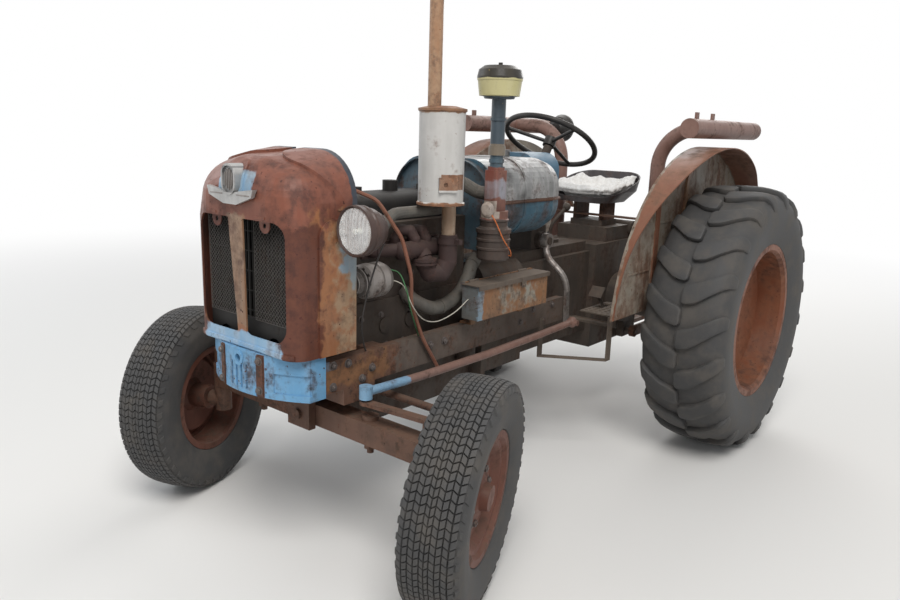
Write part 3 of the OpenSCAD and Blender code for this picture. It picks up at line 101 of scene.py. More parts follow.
forward, right, up = camera_axes(HEADING, TILT, ROLL)
lens = bpy.data.cameras.new("photo_camera")
lens.sensor_width = SENSOR_MM
lens.lens = FOCAL_PX / PHOTO_WIDTH * SENSOR_MM
eye = bpy.data.objects.new("photo_camera", lens)
bpy.context.collection.objects.link(eye)
turn = Matrix((right, up, -forward)).transposed()
eye.matrix_world = Matrix.Translation(EYE) @ turn.to_4x4()
bpy.context.scene.camera = eye
bpy.context.scene.view_settings.view_transform = "Standard"
print("lens", round(lens.lens, 2), "mm")

# %% [markdown]
# ## Joining shader nodes
# A finish is a net of nodes. By hand, each is added in the shader editor, set, and joined to the next. These helpers
# do that in code, so that a sum reads as one line: they take plain values or the sockets of other nodes, and hand back
# the socket that holds the result.

# %% Node helpers
MATERIALS = {}  # every material made here, by the name it is asked for


def new_material(name):
    """Starts an empty material; gives its node tree and its output node."""
    material = bpy.data.materials.new(name)
    material.use_nodes = True
    material.node_tree.nodes.clear()
    MATERIALS[name] = material
    return material.node_tree, material.node_tree.nodes.new("ShaderNodeOutputMaterial")


def new_node(tree, kind, **settings):
    """A node of that kind with some of its settings."""
    made = tree.nodes.new(kind)
    for key, value in settings.items():
        setattr(made, key, value)
    return made


def feed(tree, value, into):
    """Gives a socket a plain value, a colour as red, green and blue, or joins another socket to it."""
    if isinstance(value, tuple):
        into.default_value = value + (1,) if into.type == "RGBA" else value
    elif isinstance(value, (int, float)):
        into.default_value = value
    else:
        tree.links.new(value, into)


def math_node(tree, operation, a, b=None, clamp=False):
    """a and b put through one Math node."""
    made = new_node(tree, "ShaderNodeMath", operation=operation, use_clamp=clamp)
    feed(tree, a, made.inputs[0])
    if b is not None:
        feed(tree, b, made.inputs[1])
    return made.outputs[0]


def times(tree, a, b, clamp=False):
    """a multiplied by b."""
    return math_node(tree, "MULTIPLY", a, b, clamp)


def vector_node(tree, operation, a, b=None):
    """The same for places and directions; SCALE takes a number and LENGTH gives one."""
    made = new_node(tree, "ShaderNodeVectorMath", operation=operation)
    feed(tree, a, made.inputs[0])
    if b is not None:
        feed(tree, b, made.inputs["Scale" if operation == "SCALE" else 1])
    return made.outputs["Value" if operation == "LENGTH" else "Vector"]


def step(tree, value, low, high):
    """0 below low, 1 above high, smooth between."""
    made = new_node(tree, "ShaderNodeMapRange", interpolation_type="SMOOTHSTEP")
    for name, part in (("Value", value), ("From Min", low), ("From Max", high)):
        feed(tree, part, made.inputs[name])
    return made.outputs["Result"]


def own_place(tree):
    """The place on the object itself."""
    return tree.nodes.new("ShaderNodeTexCoord").outputs["Object"]


print("helpers for", ", ".join(made.__name__ for made in (math_node, times, vector_node, step)))

# %% [markdown]
# ## Floor
# A studio sweep is the easiest way to show a machine: a pale floor that takes its shadow. A few metres out the floor
# turns into plain white light where the camera, a reflection or the lamp glass sees it, so that it has no edge
# against the background and lights nothing.

# %% Floor
FLOOR_SIZE = 60.0
FLOOR_COLOUR = (0.80, 0.79, 0.77)
FLOOR_ROUGHNESS = 0.95
FLOOR_FADE = (2.5, 9.0)  # metres out where it starts to turn white, and where it is white
WHITE = (1, 1, 1)


def seen_directly(tree):
    """1 where a surface is seen by the camera, in a reflection or through glass."""
    path = tree.nodes.new("ShaderNodeLightPath").outputs
    first = math_node(tree, "MAXIMUM", path["Is Camera Ray"], path["Is Glossy Ray"])
    return math_node(tree, "MAXIMUM", first, path["Is Transmission Ray"])


def show_mixed(tree, factor, usual, white, output):
    """Shows the usual shader where factor is 0 and the white one where it is 1."""
    choice = tree.nodes.new("ShaderNodeMixShader")
    for value, into in zip((factor, usual.outputs[0], white.outputs[0]), choice.inputs):
        tree.links.new(value, into)
    tree.links.new(choice.outputs[0], output.inputs["Surface"])


bpy.ops.mesh.primitive_plane_add(size=FLOOR_SIZE, location=(0, 0, 0))
floor = bpy.context.object
floor.name = "floor"
tree, output = new_material("pale_floor")
pale = tree.nodes.new("ShaderNodeBsdfPrincipled")
feed(tree, FLOOR_COLOUR, pale.inputs["Base Color"])
feed(tree, FLOOR_ROUGHNESS, pale.inputs["Roughness"])
glow = tree.nodes.new("ShaderNodeEmission")
feed(tree, WHITE, glow.inputs["Color"])
far = step(tree, vector_node(tree, "LENGTH", own_place(tree)), *FLOOR_FADE)
show_mixed(tree, times(tree, far, seen_directly(tree)), pale, glow, output)
floor.data.materials.append(MATERIALS["pale_floor"])
bpy.ops.object.select_all(action="DESELECT")
print("floor", FLOOR_SIZE, "m, white from", FLOOR_FADE[1], "m on")

# %% [markdown]
# ## Light and background
# Soft daylight comes from one large lamp in front, with a weak one for the shadow side and one behind that lights the
# tops and edges. The world adds a faint blue fill. It shows plain white only to the camera, to reflections and
# through glass, so the background adds no light of its own.

# %% Light and background
FILL_COLOUR = (0.93, 0.96, 1.0)
FILL_STRENGTH = 0.42
LAMPS = (  # name, place, aim, size in metres, watts, colour
    ("sky_lamp", (3.2, -4.0, 6.5), (0, -0.2, 0.6), 3.6, 400, (1.0, 0.98, 0.95)),
    ("side_lamp", (-6.0, -3.0, 4.0), (0, 0, 0.8), 4.0, 90, (0.92, 0.96, 1.0)),
    ("back_lamp", (-2.0, 6.5, 5.0), (0, 0.3, 0.6), 5.0, 260, (1.0, 0.99, 0.97)),
)
world = bpy.data.worlds.new("studio")
bpy.context.scene.world = world
world.use_nodes = True
tree = world.node_tree
tree.nodes.clear()
skies = []
for colour, strength in ((FILL_COLOUR, FILL_STRENGTH), (WHITE, 1.0)):
    sky = tree.nodes.new("ShaderNodeBackground")
    feed(tree, colour, sky.inputs["Color"])
    feed(tree, strength, sky.inputs["Strength"])
    skies.append(sky)
show_mixed(tree, seen_directly(tree), *skies, tree.nodes.new("ShaderNodeOutputWorld"))

for name, stand, aim, size, watts, colour in LAMPS:
    light = bpy.data.lights.new(name, "AREA")
    light.size, light.energy, light.color = size, watts, colour
    lamp = bpy.data.objects.new(name, light)
    bpy.context.collection.objects.link(lamp)
    lamp.location = stand
    lamp.rotation_euler = (Vector(aim) - Vector(stand)).to_track_quat("-Z", "Y").to_euler()
print("lamps", len(LAMPS))

# %% [markdown]
# ## Noise and colour
# Nothing old is even, so every finish starts from noise: the same texture at a large, a middle and a fine scale. Added
# up in shares and cut off by a step, it gives patches, and a patch chooses between two colours.

# %% Noise and colour
def noise(tree, place, scale, detail, roughness=0.55):
    """A noise texture of that scale."""
    made = tree.nodes.new("ShaderNodeTexNoise")
    for name, value in (("Vector", place), ("Scale", scale), ("Detail", detail), ("Roughness", roughness)):
        feed(tree, value, made.inputs[name])
    return made.outputs["Fac"]


def plus(tree, a, b, clamp=False):
    """a and b added."""
    return math_node(tree, "ADD", a, b, clamp)


def minus(tree, a, b):
    """b taken from a."""
    return math_node(tree, "SUBTRACT", a, b)


def shares(tree, *parts):
    """A sum of sockets, each multiplied by its share."""
    total = None
    for value, share in parts:
        part = times(tree, value, share)
        total = part if total is None else plus(tree, total, part)
    return total


def mix(tree, factor, a, b):
    """Colour a where factor is 0, b where it is 1."""
    made = new_node(tree, "ShaderNodeMix", data_type="RGBA")
    for index, value in ((0, factor), (6, a), (7, b)):
        feed(tree, value, made.inputs[index])
    return made.outputs[2]


print("helpers for", ", ".join(made.__name__ for made in (noise, plus, minus, shares, mix)))

# %% [markdown]
# ## Rust
# Rust starts in freckles and joins into sheets that run down. Both come from the same amount: as it grows, the height
# at which noise turns into rust comes down, and the patches spread from where they are, as real ones do.

# %% Rust
FRECKLE_SCALE = 70.0
SHEET_EDGE, SHEET_GROWTH, SHEET_BORDER, SHEET_COVER = 0.66, 0.40, 0.17, 0.88
FRECKLE_EDGE, FRECKLE_GROWTH, FRECKLE_BORDER = 0.90, 0.20, 0.035


def rust_mask(group, place, amount, large, middle, streak):
    """1 where the paint has gone: sheets pulled down into streaks, and small freckles."""
    mottle = shares(group, (large, 0.46), (middle, 0.30), (streak, 0.24))
    edge = minus(group, SHEET_EDGE, times(group, amount, SHEET_GROWTH))
    sheet = step(group, mottle, edge, plus(group, edge, SHEET_BORDER))
    freckles = plus(group, noise(group, place, FRECKLE_SCALE, 3, 0.5), times(group, large, 0.25))
    edge = minus(group, FRECKLE_EDGE, times(group, amount, FRECKLE_GROWTH))
    dots = step(group, freckles, edge, plus(group, edge, FRECKLE_BORDER))
    return math_node(group, "MAXIMUM", times(group, sheet, SHEET_COVER), dots)


print("sheets from", SHEET_EDGE, "freckles from", FRECKLE_EDGE)

# %% [markdown]
# ## Weather: one shader group for every old finish
# Sixty years in the sun leave the same marks on everything: paint that has gone chalky in large soft patches, rust,
# streaks that ran down, oily grime, and dust on what faces up. Instead of painting this again for each material, one
# node group works them out from the place on the object, and each material gives it its own colours and amounts.

# %% Weather group
COLOURS_IN = ("Paint", "Faded", "Rust", "Dark", "Dust")
AMOUNTS_IN = ("Rust amount", "Fade amount", "Grime amount", "Dust amount", "Scale", "Paint gloss")
MIDDLE_SCALE = 5.3  # times the scale of the large patches
FINE_SCALE, GRIME_SCALE = 160.0, 3.4
STREAKS = (26, 26, 2.2)  # fine sideways, long downwards
FADE_STEP, IRON_STEP, GRIME_STEP = (0.34, 0.64), (0.38, 0.62), (0.46, 0.68)
FACING_STEP, DUSTY_STEP = (0.15, 0.95), (0.25, 0.75)
SIDE_DUST = 0.18  # of the dust on top, on what doesn't face up
FINE_DARK = 0.10
RUST_ROUGHNESS, DUST_ROUGHNESS = 0.35, 0.3
FINE_RELIEF, RUST_RELIEF, SCALE_RELIEF = 0.35, 0.55, 0.8


def build_weather():
    """Colour, roughness and height of an old painted or bare surface."""
    group = bpy.data.node_groups.new("weather", "ShaderNodeTree")
    for way, kind, names in (("INPUT", "NodeSocketColor", COLOURS_IN), ("INPUT", "NodeSocketFloat", AMOUNTS_IN),
                             ("OUTPUT", "NodeSocketColor", ("Color",)),
                             ("OUTPUT", "NodeSocketFloat", ("Roughness", "Height"))):
        for name in names:
            group.interface.new_socket(name=name, in_out=way, socket_type=kind)
    given = group.nodes.new("NodeGroupInput").outputs
    result = group.nodes.new("NodeGroupOutput").inputs
    place = own_place(group)
    normal = group.nodes.new("ShaderNodeSeparateXYZ")
    group.links.new(group.nodes.new("ShaderNodeNewGeometry").outputs["Normal"], normal.inputs[0])
    large = noise(group, place, given["Scale"], 5)
    middle = noise(group, place, times(group, given["Scale"], MIDDLE_SCALE), 6, 0.62)
    fine = noise(group, place, FINE_SCALE, 4, 0.6)
    streak = noise(group, vector_node(group, "MULTIPLY", place, STREAKS), 1.0, 4)
    rust = rust_mask(group, place, given["Rust amount"], large, middle, streak)
    # paint faded in patches, and iron where it has gone
    fade = step(group, shares(group, (streak, 0.5), (large, 0.5)), *FADE_STEP)
    paint = mix(group, times(group, fade, given["Fade amount"]), given["Paint"], given["Faded"])
    pits = step(group, shares(group, (middle, 0.6), (fine, 0.4)), *IRON_STEP)
    colour = mix(group, rust, paint, mix(group, pits, given["Rust"], given["Dark"]))
    # grime in dark oily patches, then dust, mostly on what faces up
    grime = step(group, noise(group, place, GRIME_SCALE, 6, 0.65), *GRIME_STEP)
    colour = mix(group, times(group, grime, given["Grime amount"]), colour, given["Dark"])
    facing = step(group, normal.outputs["Z"], *FACING_STEP)
    dust = times(group, plus(group, facing, SIDE_DUST), given["Dust amount"])
    dust = times(group, dust, step(group, middle, *DUSTY_STEP), clamp=True)
    colour = mix(group, dust, colour, given["Dust"])
    colour = mix(group, times(group, fine, FINE_DARK), colour, given["Dark"])
    rough = plus(group, times(group, rust, RUST_ROUGHNESS), given["Paint gloss"])
    rough = plus(group, rough, times(group, dust, DUST_ROUGHNESS), clamp=True)
    # rust eats down, and what is left of it is coarse
    relief = minus(group, times(group, fine, FINE_RELIEF), times(group, rust, RUST_RELIEF))
    relief = plus(group, relief, times(group, times(group, rust, fine), SCALE_RELIEF))
    for name, value in (("Color", colour), ("Roughness", rough), ("Height", relief)):
        group.links.new(value, result[name])
    return group


weather = build_weather()
print("weather group with", len(weather.nodes), "nodes")

# %% [markdown]
# ## The colours of the finishes
# Each finish of the tractor is one row of a table: its colours, how far each kind of wear has gone, and how metallic
# and how coarse it is. A table keeps the finishes side by side, so that one can be matched to the next. The numbers
# are linear, as Blender stores them, and so lower than those of the same colour in a paint program.

# %% Colours of the finishes
RUST = (0.155, 0.058, 0.030)
DEEP = (0.040, 0.028, 0.023)
SOIL = (0.20, 0.155, 0.118)
SKY = (0.150, 0.360, 0.590)
PALE_SKY = (0.245, 0.455, 0.665)
SLATE = (0.058, 0.100, 0.130)
OLD_SLATE = (0.105, 0.150, 0.180)
CREAM = (0.50, 0.49, 0.47)
PALE_CREAM = (0.60, 0.59, 0.57)
TAN = (0.31, 0.120, 0.048)
PALE_TAN = (0.40, 0.195, 0.092)
BURNT = (0.042, 0.025, 0.024)
BLACK = (0.016, 0.015, 0.015)
GREY_BLACK = (0.040, 0.038, 0.036)
FINISHES = {  # paint, faded, rust, dark; amounts of rust, fade, grime, dust; scale, gloss, metallic, relief in mm
    "engine_paint": ((0.050, 0.041, 0.035), (0.10, 0.078, 0.062), (0.085, 0.045, 0.032), DEEP,
        0.50, 0.7, 0.6, 0.34, 7, 0.60, 0.0, 1.6),
    "rusty_iron": ((0.105, 0.058, 0.042), (0.155, 0.092, 0.066), RUST, DEEP, 0.60, 0.6, 0.4, 0.30, 9, 0.62, 0.0, 1.2),
    "burnt_iron": (BURNT, (0.064, 0.038, 0.034), (0.090, 0.036, 0.026), (0.026, 0.019, 0.018),
        0.46, 0.6, 0.3, 0.16, 13, 0.66, 0.0, 1.2),
    "seat_black": ((0.055, 0.051, 0.054), (0.100, 0.094, 0.098), (0.120, 0.055, 0.037), DEEP,
        0.42, 0.7, 0.4, 0.18, 11, 0.40, 0.2, 0.5),
    "brown_frame": ((0.135, 0.070, 0.048), (0.195, 0.115, 0.080), (0.175, 0.062, 0.030), DEEP,
        0.52, 0.6, 0.5, 0.28, 8, 0.56, 0.0, 0.9),
    "faded_blue": (SKY, PALE_SKY, (0.135, 0.052, 0.030), DEEP, 0.50, 0.6, 0.25, 0.14, 11, 0.40, 0.0, 0.7),
    "nose_paint": ((0.190, 0.062, 0.038), (0.265, 0.105, 0.068), (0.100, 0.034, 0.025), (0.065, 0.028, 0.023),
        0.52, 0.8, 0.15, 0.06, 5, 0.32, 0.0, 0.5),
    "aluminium_paint": ((0.42, 0.42, 0.415), (0.58, 0.575, 0.56), (0.26, 0.16, 0.10), (0.09, 0.078, 0.066),
        0.30, 0.8, 0.45, 0.08, 16, 0.36, 0.55, 0.5),
    "raw_steel": ((0.26, 0.235, 0.22), (0.36, 0.335, 0.315), (0.19, 0.105, 0.07), DEEP,
        0.42, 0.6, 0.3, 0.2, 12, 0.40, 0.45, 0.6),
    "wire_grey": ((0.072, 0.068, 0.064), (0.125, 0.117, 0.108), (0.120, 0.060, 0.038), DEEP,
        0.36, 0.6, 0.2, 0.10, 15, 0.45, 0.3, 0.2),
    "bolt_steel": ((0.115, 0.098, 0.092), (0.185, 0.165, 0.155), (0.145, 0.062, 0.038), DEEP,
        0.44, 0.6, 0.3, 0.12, 22, 0.40, 0.3, 0.4),
    "rim_red": ((0.135, 0.048, 0.032), (0.195, 0.085, 0.058), (0.135, 0.052, 0.030), DEEP,
        0.48, 0.6, 0.35, 0.32, 9, 0.5, 0.0, 0.6),
    "black_plastic": (BLACK, GREY_BLACK, (0.03, 0.028, 0.026), (0.01, 0.01, 0.01),
        0.2, 0.6, 0.2, 0.16, 10, 0.42, 0.0, 0.3),
    # black paint, darkened further as painted shade for the radiator behind the grille; the rocker cover shares it
    "soot_black": ((0.011, 0.010, 0.010), (0.024, 0.022, 0.020), (0.05, 0.032, 0.024), (0.012, 0.011, 0.011),
        0.3, 0.6, 0.3, 0.05, 10, 0.6, 0.0, 0.5),
    "lamp_brown": ((0.052, 0.031, 0.027), (0.088, 0.054, 0.045), (0.135, 0.055, 0.034), (0.035, 0.025, 0.022),
        0.40, 0.6, 0.2, 0.10, 14, 0.36, 0.0, 0.6),
    "bowl_yellow": ((0.50, 0.455, 0.20), (0.58, 0.54, 0.33), (0.33, 0.25, 0.10), (0.14, 0.115, 0.06),
        0.2, 0.6, 0.2, 0.12, 8, 0.3, 0.0, 0.3),
    "pale_fender": ((0.265, 0.235, 0.190), (0.37, 0.345, 0.295), (0.190, 0.078, 0.038), (0.11, 0.062, 0.040),
        0.60, 0.8, 0.15, 0.12, 4, 0.42, 0.0, 0.5),
    "tank_paint": ((0.052, 0.118, 0.165), (0.105, 0.190, 0.245), (0.115, 0.050, 0.032), (0.030, 0.027, 0.027),
        0.56, 0.8, 0.85, 0.06, 8, 0.30, 0.0, 0.4),
    "dash_blue": ((0.070, 0.155, 0.235), (0.13, 0.23, 0.31), (0.115, 0.050, 0.032), DEEP,
        0.36, 0.6, 0.35, 0.16, 12, 0.42, 0.0, 0.4),
    "muffler_cream": (CREAM, PALE_CREAM, (0.26, 0.10, 0.042), (0.14, 0.08, 0.055),
        0.30, 0.8, 0.10, 0.03, 10, 0.36, 0.0, 0.4),
    "slate_blue": (SLATE, OLD_SLATE, (0.115, 0.050, 0.032), DEEP, 0.50, 0.7, 0.60, 0.14, 9, 0.42, 0.0, 0.5),
    "box_paint": ((0.235, 0.100, 0.042), (0.29, 0.185, 0.110), (0.135, 0.060, 0.036), (0.06, 0.045, 0.038),
        0.46, 0.8, 0.4, 0.20, 12, 0.52, 0.0, 0.6),
    "dusty_steel": ((0.092, 0.073, 0.060), (0.150, 0.122, 0.098), (0.125, 0.060, 0.038), DEEP,
        0.36, 0.8, 0.35, 0.55, 11, 0.6, 0.0, 0.6),
    "rim_orange": ((0.190, 0.062, 0.030), (0.30, 0.150, 0.085), (0.120, 0.040, 0.024), (0.065, 0.030, 0.023),
        0.52, 0.55, 0.3, 0.14, 7, 0.46, 0.0, 0.6),
    "pink_brown": ((0.20, 0.108, 0.086), (0.28, 0.175, 0.145), (0.135, 0.058, 0.040), DEEP,
        0.40, 0.7, 0.25, 0.16, 9, 0.46, 0.0, 0.5),
    "copper_brown": ((0.235, 0.090, 0.055), (0.31, 0.14, 0.09), (0.135, 0.058, 0.040), DEEP,
        0.30, 0.7, 0.2, 0.10, 15, 0.40, 0.0, 0.4),
    "hose_grey": ((0.088, 0.086, 0.080), (0.155, 0.145, 0.125), (0.105, 0.070, 0.050), DEEP,
        0.30, 0.8, 0.5, 0.40, 12, 0.6, 0.0, 0.5),
}
print("finishes", len(FINISHES))

# %% [markdown]
# ## Zones
# Some panels changed colour from place to place: the nose is brown on its crown, tan on its sides and still blue at
# its foot. Such a finish has zones, each a box in the tractor's own frame. Zones are used here instead of more
# materials, because a part of the frame keeps its one mesh and one slot.

# %% Zones
ANY = (None, None)
ZONES = {  # each: |x|, y and z limits (None is open), border in m, then paint, faded, amount of rust
    "nose_paint": (
        ((0.235, None), (-1.50, None), (None, 1.235), 0.045, TAN, PALE_TAN, 0.46),
        (ANY, ANY, (0.80, 0.98), 0.05, (0.29, 0.115, 0.052), (0.37, 0.19, 0.10), 0.50),
        ((0.20, None), (None, -1.465), (None, 1.22), 0.022, (0.115, 0.038, 0.025), (0.170, 0.066, 0.038), 0.60),
        ((None, 0.205), (None, -1.45), (None, 0.852), 0.012, PALE_SKY, (0.42, 0.54, 0.66), 0.42),
        ((None, 0.05), ANY, (0.87, 1.24), 0.010, (0.27, 0.135, 0.070), (0.42, 0.33, 0.24), 0.56),
        ((0.262, None), (-1.405, None), (0.80, 1.24), 0.045, (0.34, 0.205, 0.115), (0.42, 0.31, 0.20), 0.54),
        ((0.255, None), (-1.375, None), (1.03, 1.17), 0.035, (0.24, 0.34, 0.42), (0.42, 0.42, 0.38), 0.46),
        (ANY, (-1.338, None), (1.21, None), 0.004, (0.025, 0.033, 0.045), (0.055, 0.07, 0.09), 0.30),
        ((None, 0.088), (None, -1.50), (1.300, 1.375), 0.008, PALE_SKY, (0.36, 0.40, 0.42), 0.40)),
    "faded_blue": (
        ((0.087, 0.117), (None, -1.53), (0.64, 0.79), 0.001, (0.095, 0.045, 0.032), (0.14, 0.07, 0.048), 0.6),),
    "brown_frame": (
        ((0.20, None), (-1.08, None), (0.60, 0.80), 0.05, (0.100, 0.078, 0.066), (0.165, 0.132, 0.108), 0.40),
        ((0.20, None), (None, -1.12), (0.66, 0.74), 0.03, (0.215, 0.095, 0.045), (0.32, 0.175, 0.085), 0.46),
        (ANY, (None, -1.41), (0.740, None), 0.02, (0.17, 0.23, 0.31), (0.26, 0.27, 0.29), 0.52)),
    "pale_fender": (
        ((0.572, None), ANY, ANY, 0.004, (0.190, 0.072, 0.042), (0.275, 0.130, 0.080), 0.48),
        ((0.566, 0.5865), (0.595, 0.645), ANY, 0.002, (0.20, 0.105, 0.060), (0.30, 0.20, 0.13), 0.5)),
    "aluminium_paint": (
        ((None, 0.0285), (None, -1.50), (1.3085, 1.3915), 0.0004, (0.21, 0.215, 0.22), (0.30, 0.30, 0.30), 0.40),),
    "tank_paint": (
        (ANY, (-0.545, None), (1.236, None), 0.010, (0.22, 0.225, 0.225), (0.46, 0.46, 0.455), 0.48),
        (ANY, ANY, (1.226, 1.242), 0.002, (0.11, 0.055, 0.038), (0.16, 0.09, 0.062), 0.5)),
    "muffler_cream": (
        (ANY, ANY, (1.598, None), 0.004, (0.33, 0.165, 0.085), (0.46, 0.35, 0.24), 0.56),
        (ANY, ANY, (None, 1.262), 0.010, (0.30, 0.195, 0.125), (0.46, 0.385, 0.30), 0.50),
        (ANY, ANY, (1.249, 1.266), 0.005, (0.22, 0.105, 0.055), (0.34, 0.22, 0.14), 0.6),
        (ANY, ANY, (1.580, 1.600), 0.005, (0.24, 0.115, 0.060), (0.36, 0.24, 0.15), 0.6),
        ((0.330, None), (None, -0.868), (1.312, 1.366), 0.0015, (0.22, 0.105, 0.06), (0.40, 0.30, 0.22), 0.60)),
    "box_paint": (
        ((0.345, None), (-0.60, -0.36), (0.82, 0.92), 0.03, (0.27, 0.27, 0.24), (0.34, 0.29, 0.22), 0.50),
        (ANY, (None, -0.735), ANY, 0.006, (0.125, 0.115, 0.10), (0.16, 0.20, 0.22), 0.50),
        ((0.345, None), (None, -0.715), ANY, 0.010, (0.17, 0.245, 0.31), (0.30, 0.38, 0.43), 0.50)),
    "slate_blue": (
        ((0.28, None), (None, -0.600), (1.19, 1.386), 0.004, (0.175, 0.048, 0.034), (0.24, 0.12, 0.09), 0.36),
        ((0.28, None), (None, -0.600), (1.27, 1.34), 0.012, (0.22, 0.105, 0.085), (0.33, 0.38, 0.44), 0.36),
        ((0.28, None), (None, -0.575), (None, 1.19), 0.004, (0.044, 0.034, 0.030), (0.075, 0.058, 0.049), 0.42),
        ((0.30, None), (None, -0.668), (1.195, 1.26), 0.002, (0.42, 0.32, 0.25), (0.55, 0.50, 0.46), 0.40)),
    "bowl_yellow": (
        (ANY, ANY, (1.712, None), 0.002, BLACK, GREY_BLACK, 0.15),
        (ANY, ANY, (None, 1.648), 0.002, (0.042, 0.062, 0.082), (0.085, 0.11, 0.135), 0.25),
        (ANY, ANY, (None, 1.475), 0.002, (0.16, 0.13, 0.10), (0.24, 0.21, 0.17), 0.35)),
    "pink_brown": (
        ((None, 0.56), (None, -1.10), (None, 0.80), 0.02, (0.20, 0.34, 0.48), PALE_SKY, 0.38),),
}
print("zones", sum(len(rows) for rows in ZONES.values()))

# %% [markdown]
# ## One shader under each finish
# Every finish here ends in the same way: one Principled shader takes the colour, the roughness and the rest, and a
# bump node tilts its normal by a height. One helper does this, so that no material leaves a step out.

# %% Shader
def shade(tree, output, sockets, height=None, strength=0.5, relief=0.001):
    """Ends a new material with one shader that takes those sockets, and with a bump from the height."""
    shader = tree.nodes.new("ShaderNodeBsdfPrincipled")
    for name, value in sockets.items():
        feed(tree, value, shader.inputs[name])
    if height is not None:
        bump = tree.nodes.new("ShaderNodeBump")
        for name, value in (("Strength", strength), ("Distance", relief), ("Height", height)):
            feed(tree, value, bump.inputs[name])
        tree.links.new(bump.outputs["Normal"], shader.inputs["Normal"])
    tree.links.new(shader.outputs[0], output.inputs["Surface"])


print("shader and bump for each finish")

# %% [markdown]
# ## Ragged borders
# Old paint has no straight borders. So the place is pushed about by noise before it is compared with the limits of a
# zone, and the limits that are open are left out.

# %% Ragged borders
RAGGED_SCALE = 24.0
RAGGED_REACH = 5.0  # times the width of the border


def ragged_cloud(tree, place):
    """Noise about 0 in all three directions."""
    cloud = tree.nodes.new("ShaderNodeTexNoise")
    for name, value in (("Vector", place), ("Scale", RAGGED_SCALE), ("Detail", 5.0)):
        feed(tree, value, cloud.inputs[name])
    return vector_node(tree, "SUBTRACT", cloud.outputs["Color"], (0.5, 0.5, 0.5))


def zone_mask(tree, place, cloud, limits, border):
    """1 inside the limits and 0 outside, with a border as wide and as ragged as asked."""
    moved = vector_node(tree, "ADD", place, vector_node(tree, "SCALE", cloud, RAGGED_REACH * border))
    split = tree.nodes.new("ShaderNodeSeparateXYZ")
    tree.links.new(moved, split.inputs[0])
    mask = None
    for axis, (low, high) in enumerate(limits):
        value = split.outputs[axis]
        if axis == 0:
            value = math_node(tree, "ABSOLUTE", value)
        for limit, sign in ((low, 1), (high, -1)):
            if limit is None:
                continue
            side = step(tree, times(tree, value, sign), sign * limit - border / 2, sign * limit + border / 2)
            mask = side if mask is None else times(tree, mask, side)
    return mask


print("borders reach", RAGGED_REACH, "times their width")

# %% [markdown]
# ## The finishes as materials
# A material hands the weather group its own values, and keeps what is the same all over, such as how metallic it is,
# on the shader itself. Where it has zones, each changes the paint and the amount of rust before the group takes them.

# %% Materials of the finishes
WEATHER_INPUTS = [name for name in COLOURS_IN + AMOUNTS_IN if name != "Dust"]
DULL_SPECULAR = 0.28
BUMP_STRENGTH = 0.6


def weathered(name, values, zones=()):
    """A material that shows the weather group with those values, changed inside each zone."""
    tree, output = new_material(name)
    *given, metallic, relief = values
    own = dict(zip(WEATHER_INPUTS, given))
    own["Dust"] = SOIL
    usual_rust = own["Rust amount"]
    if zones:
        place = own_place(tree)
        cloud = ragged_cloud(tree, place)
    for x, y, z, border, paint, faded, rust in zones:
        mask = zone_mask(tree, place, cloud, (x, y, z), border)
        own["Paint"] = mix(tree, mask, own["Paint"], paint)
        own["Faded"] = mix(tree, mask, own["Faded"], faded)
        own["Rust amount"] = plus(tree, times(tree, mask, rust - usual_rust), own["Rust amount"])
    inside = new_node(tree, "ShaderNodeGroup", node_tree=weather)
    for key, value in own.items():
        feed(tree, value, inside.inputs[key])
    shown = {"Base Color": inside.outputs["Color"], "Roughness": inside.outputs["Roughness"],
             "Metallic": metallic, "Specular IOR Level": DULL_SPECULAR}
    shade(tree, output, shown, inside.outputs["Height"], BUMP_STRENGTH, relief / 1000)


for name, values in FINISHES.items():
    weathered(name, values, ZONES.get(name, ()))
print("materials", len(MATERIALS))

# %% [markdown]
# ## Rubber
# Old tyre rubber is dark grey rather than black. It has dried out, so it is dull, and soil sits on it in soft
# patches. A noise of middle size places the soil, and fine noise and cracks give the surface. Larger patches would
# look like stone.

# %% Rubber
RUBBER, DUSTY_RUBBER, WORN_RUBBER = (0.040, 0.040, 0.041), (0.135, 0.118, 0.10), (0.085, 0.082, 0.08)
SOIL_SCALE, CRACK_SCALE, PORE_SCALE = 9.0, 40.0, 220.0
SOIL_STEP, SOIL_COVER, PORE_COVER = (0.40, 0.72), 0.55, 0.35
RUBBER_ROUGHNESS, SOIL_ROUGHNESS = 0.68, 0.2


def build_rubber():
    """Dull dusty rubber."""
    tree, output = new_material("tyre")
    place = own_place(tree)
    pores = noise(tree, place, PORE_SCALE, 3)
    cracks = noise(tree, place, CRACK_SCALE, 6, 0.7)
    soil = step(tree, noise(tree, place, SOIL_SCALE, 6, 0.6), *SOIL_STEP)
    colour = mix(tree, times(tree, soil, SOIL_COVER), RUBBER, DUSTY_RUBBER)
    colour = mix(tree, times(tree, pores, PORE_COVER), colour, WORN_RUBBER)
    rough = plus(tree, times(tree, soil, SOIL_ROUGHNESS), RUBBER_ROUGHNESS)
    height = plus(tree, times(tree, pores, 0.5), cracks)
    shade(tree, output, {"Base Color": colour, "Roughness": rough}, height, 0.5, 0.0015)


build_rubber()
print("rubber", RUBBER)

# %% [markdown]
# ## Lamp glass
# The headlamp glass is clear, with moulded upright ribs and some dirt. It could be real glass that bends light, but
# then the bowl behind it stays dark. So it is a thin cover instead: mostly see-through, and less so on the ribs and on
# the dirt.

# %% Lamp glass
GLASS_COLOUR = (0.80, 0.82, 0.83)
GLASS_COVER, RIB_COVER, DIRT_COVER = 0.16, 0.16, 0.12
RIB_SCALE, DIRT_SCALE = 22.0, 30.0
RIB_STEP, DIRT_STEP = (0.78, 0.98), (0.45, 0.8)
GLASS_ROUGHNESS, DIRT_ROUGHNESS = 0.04, 0.15


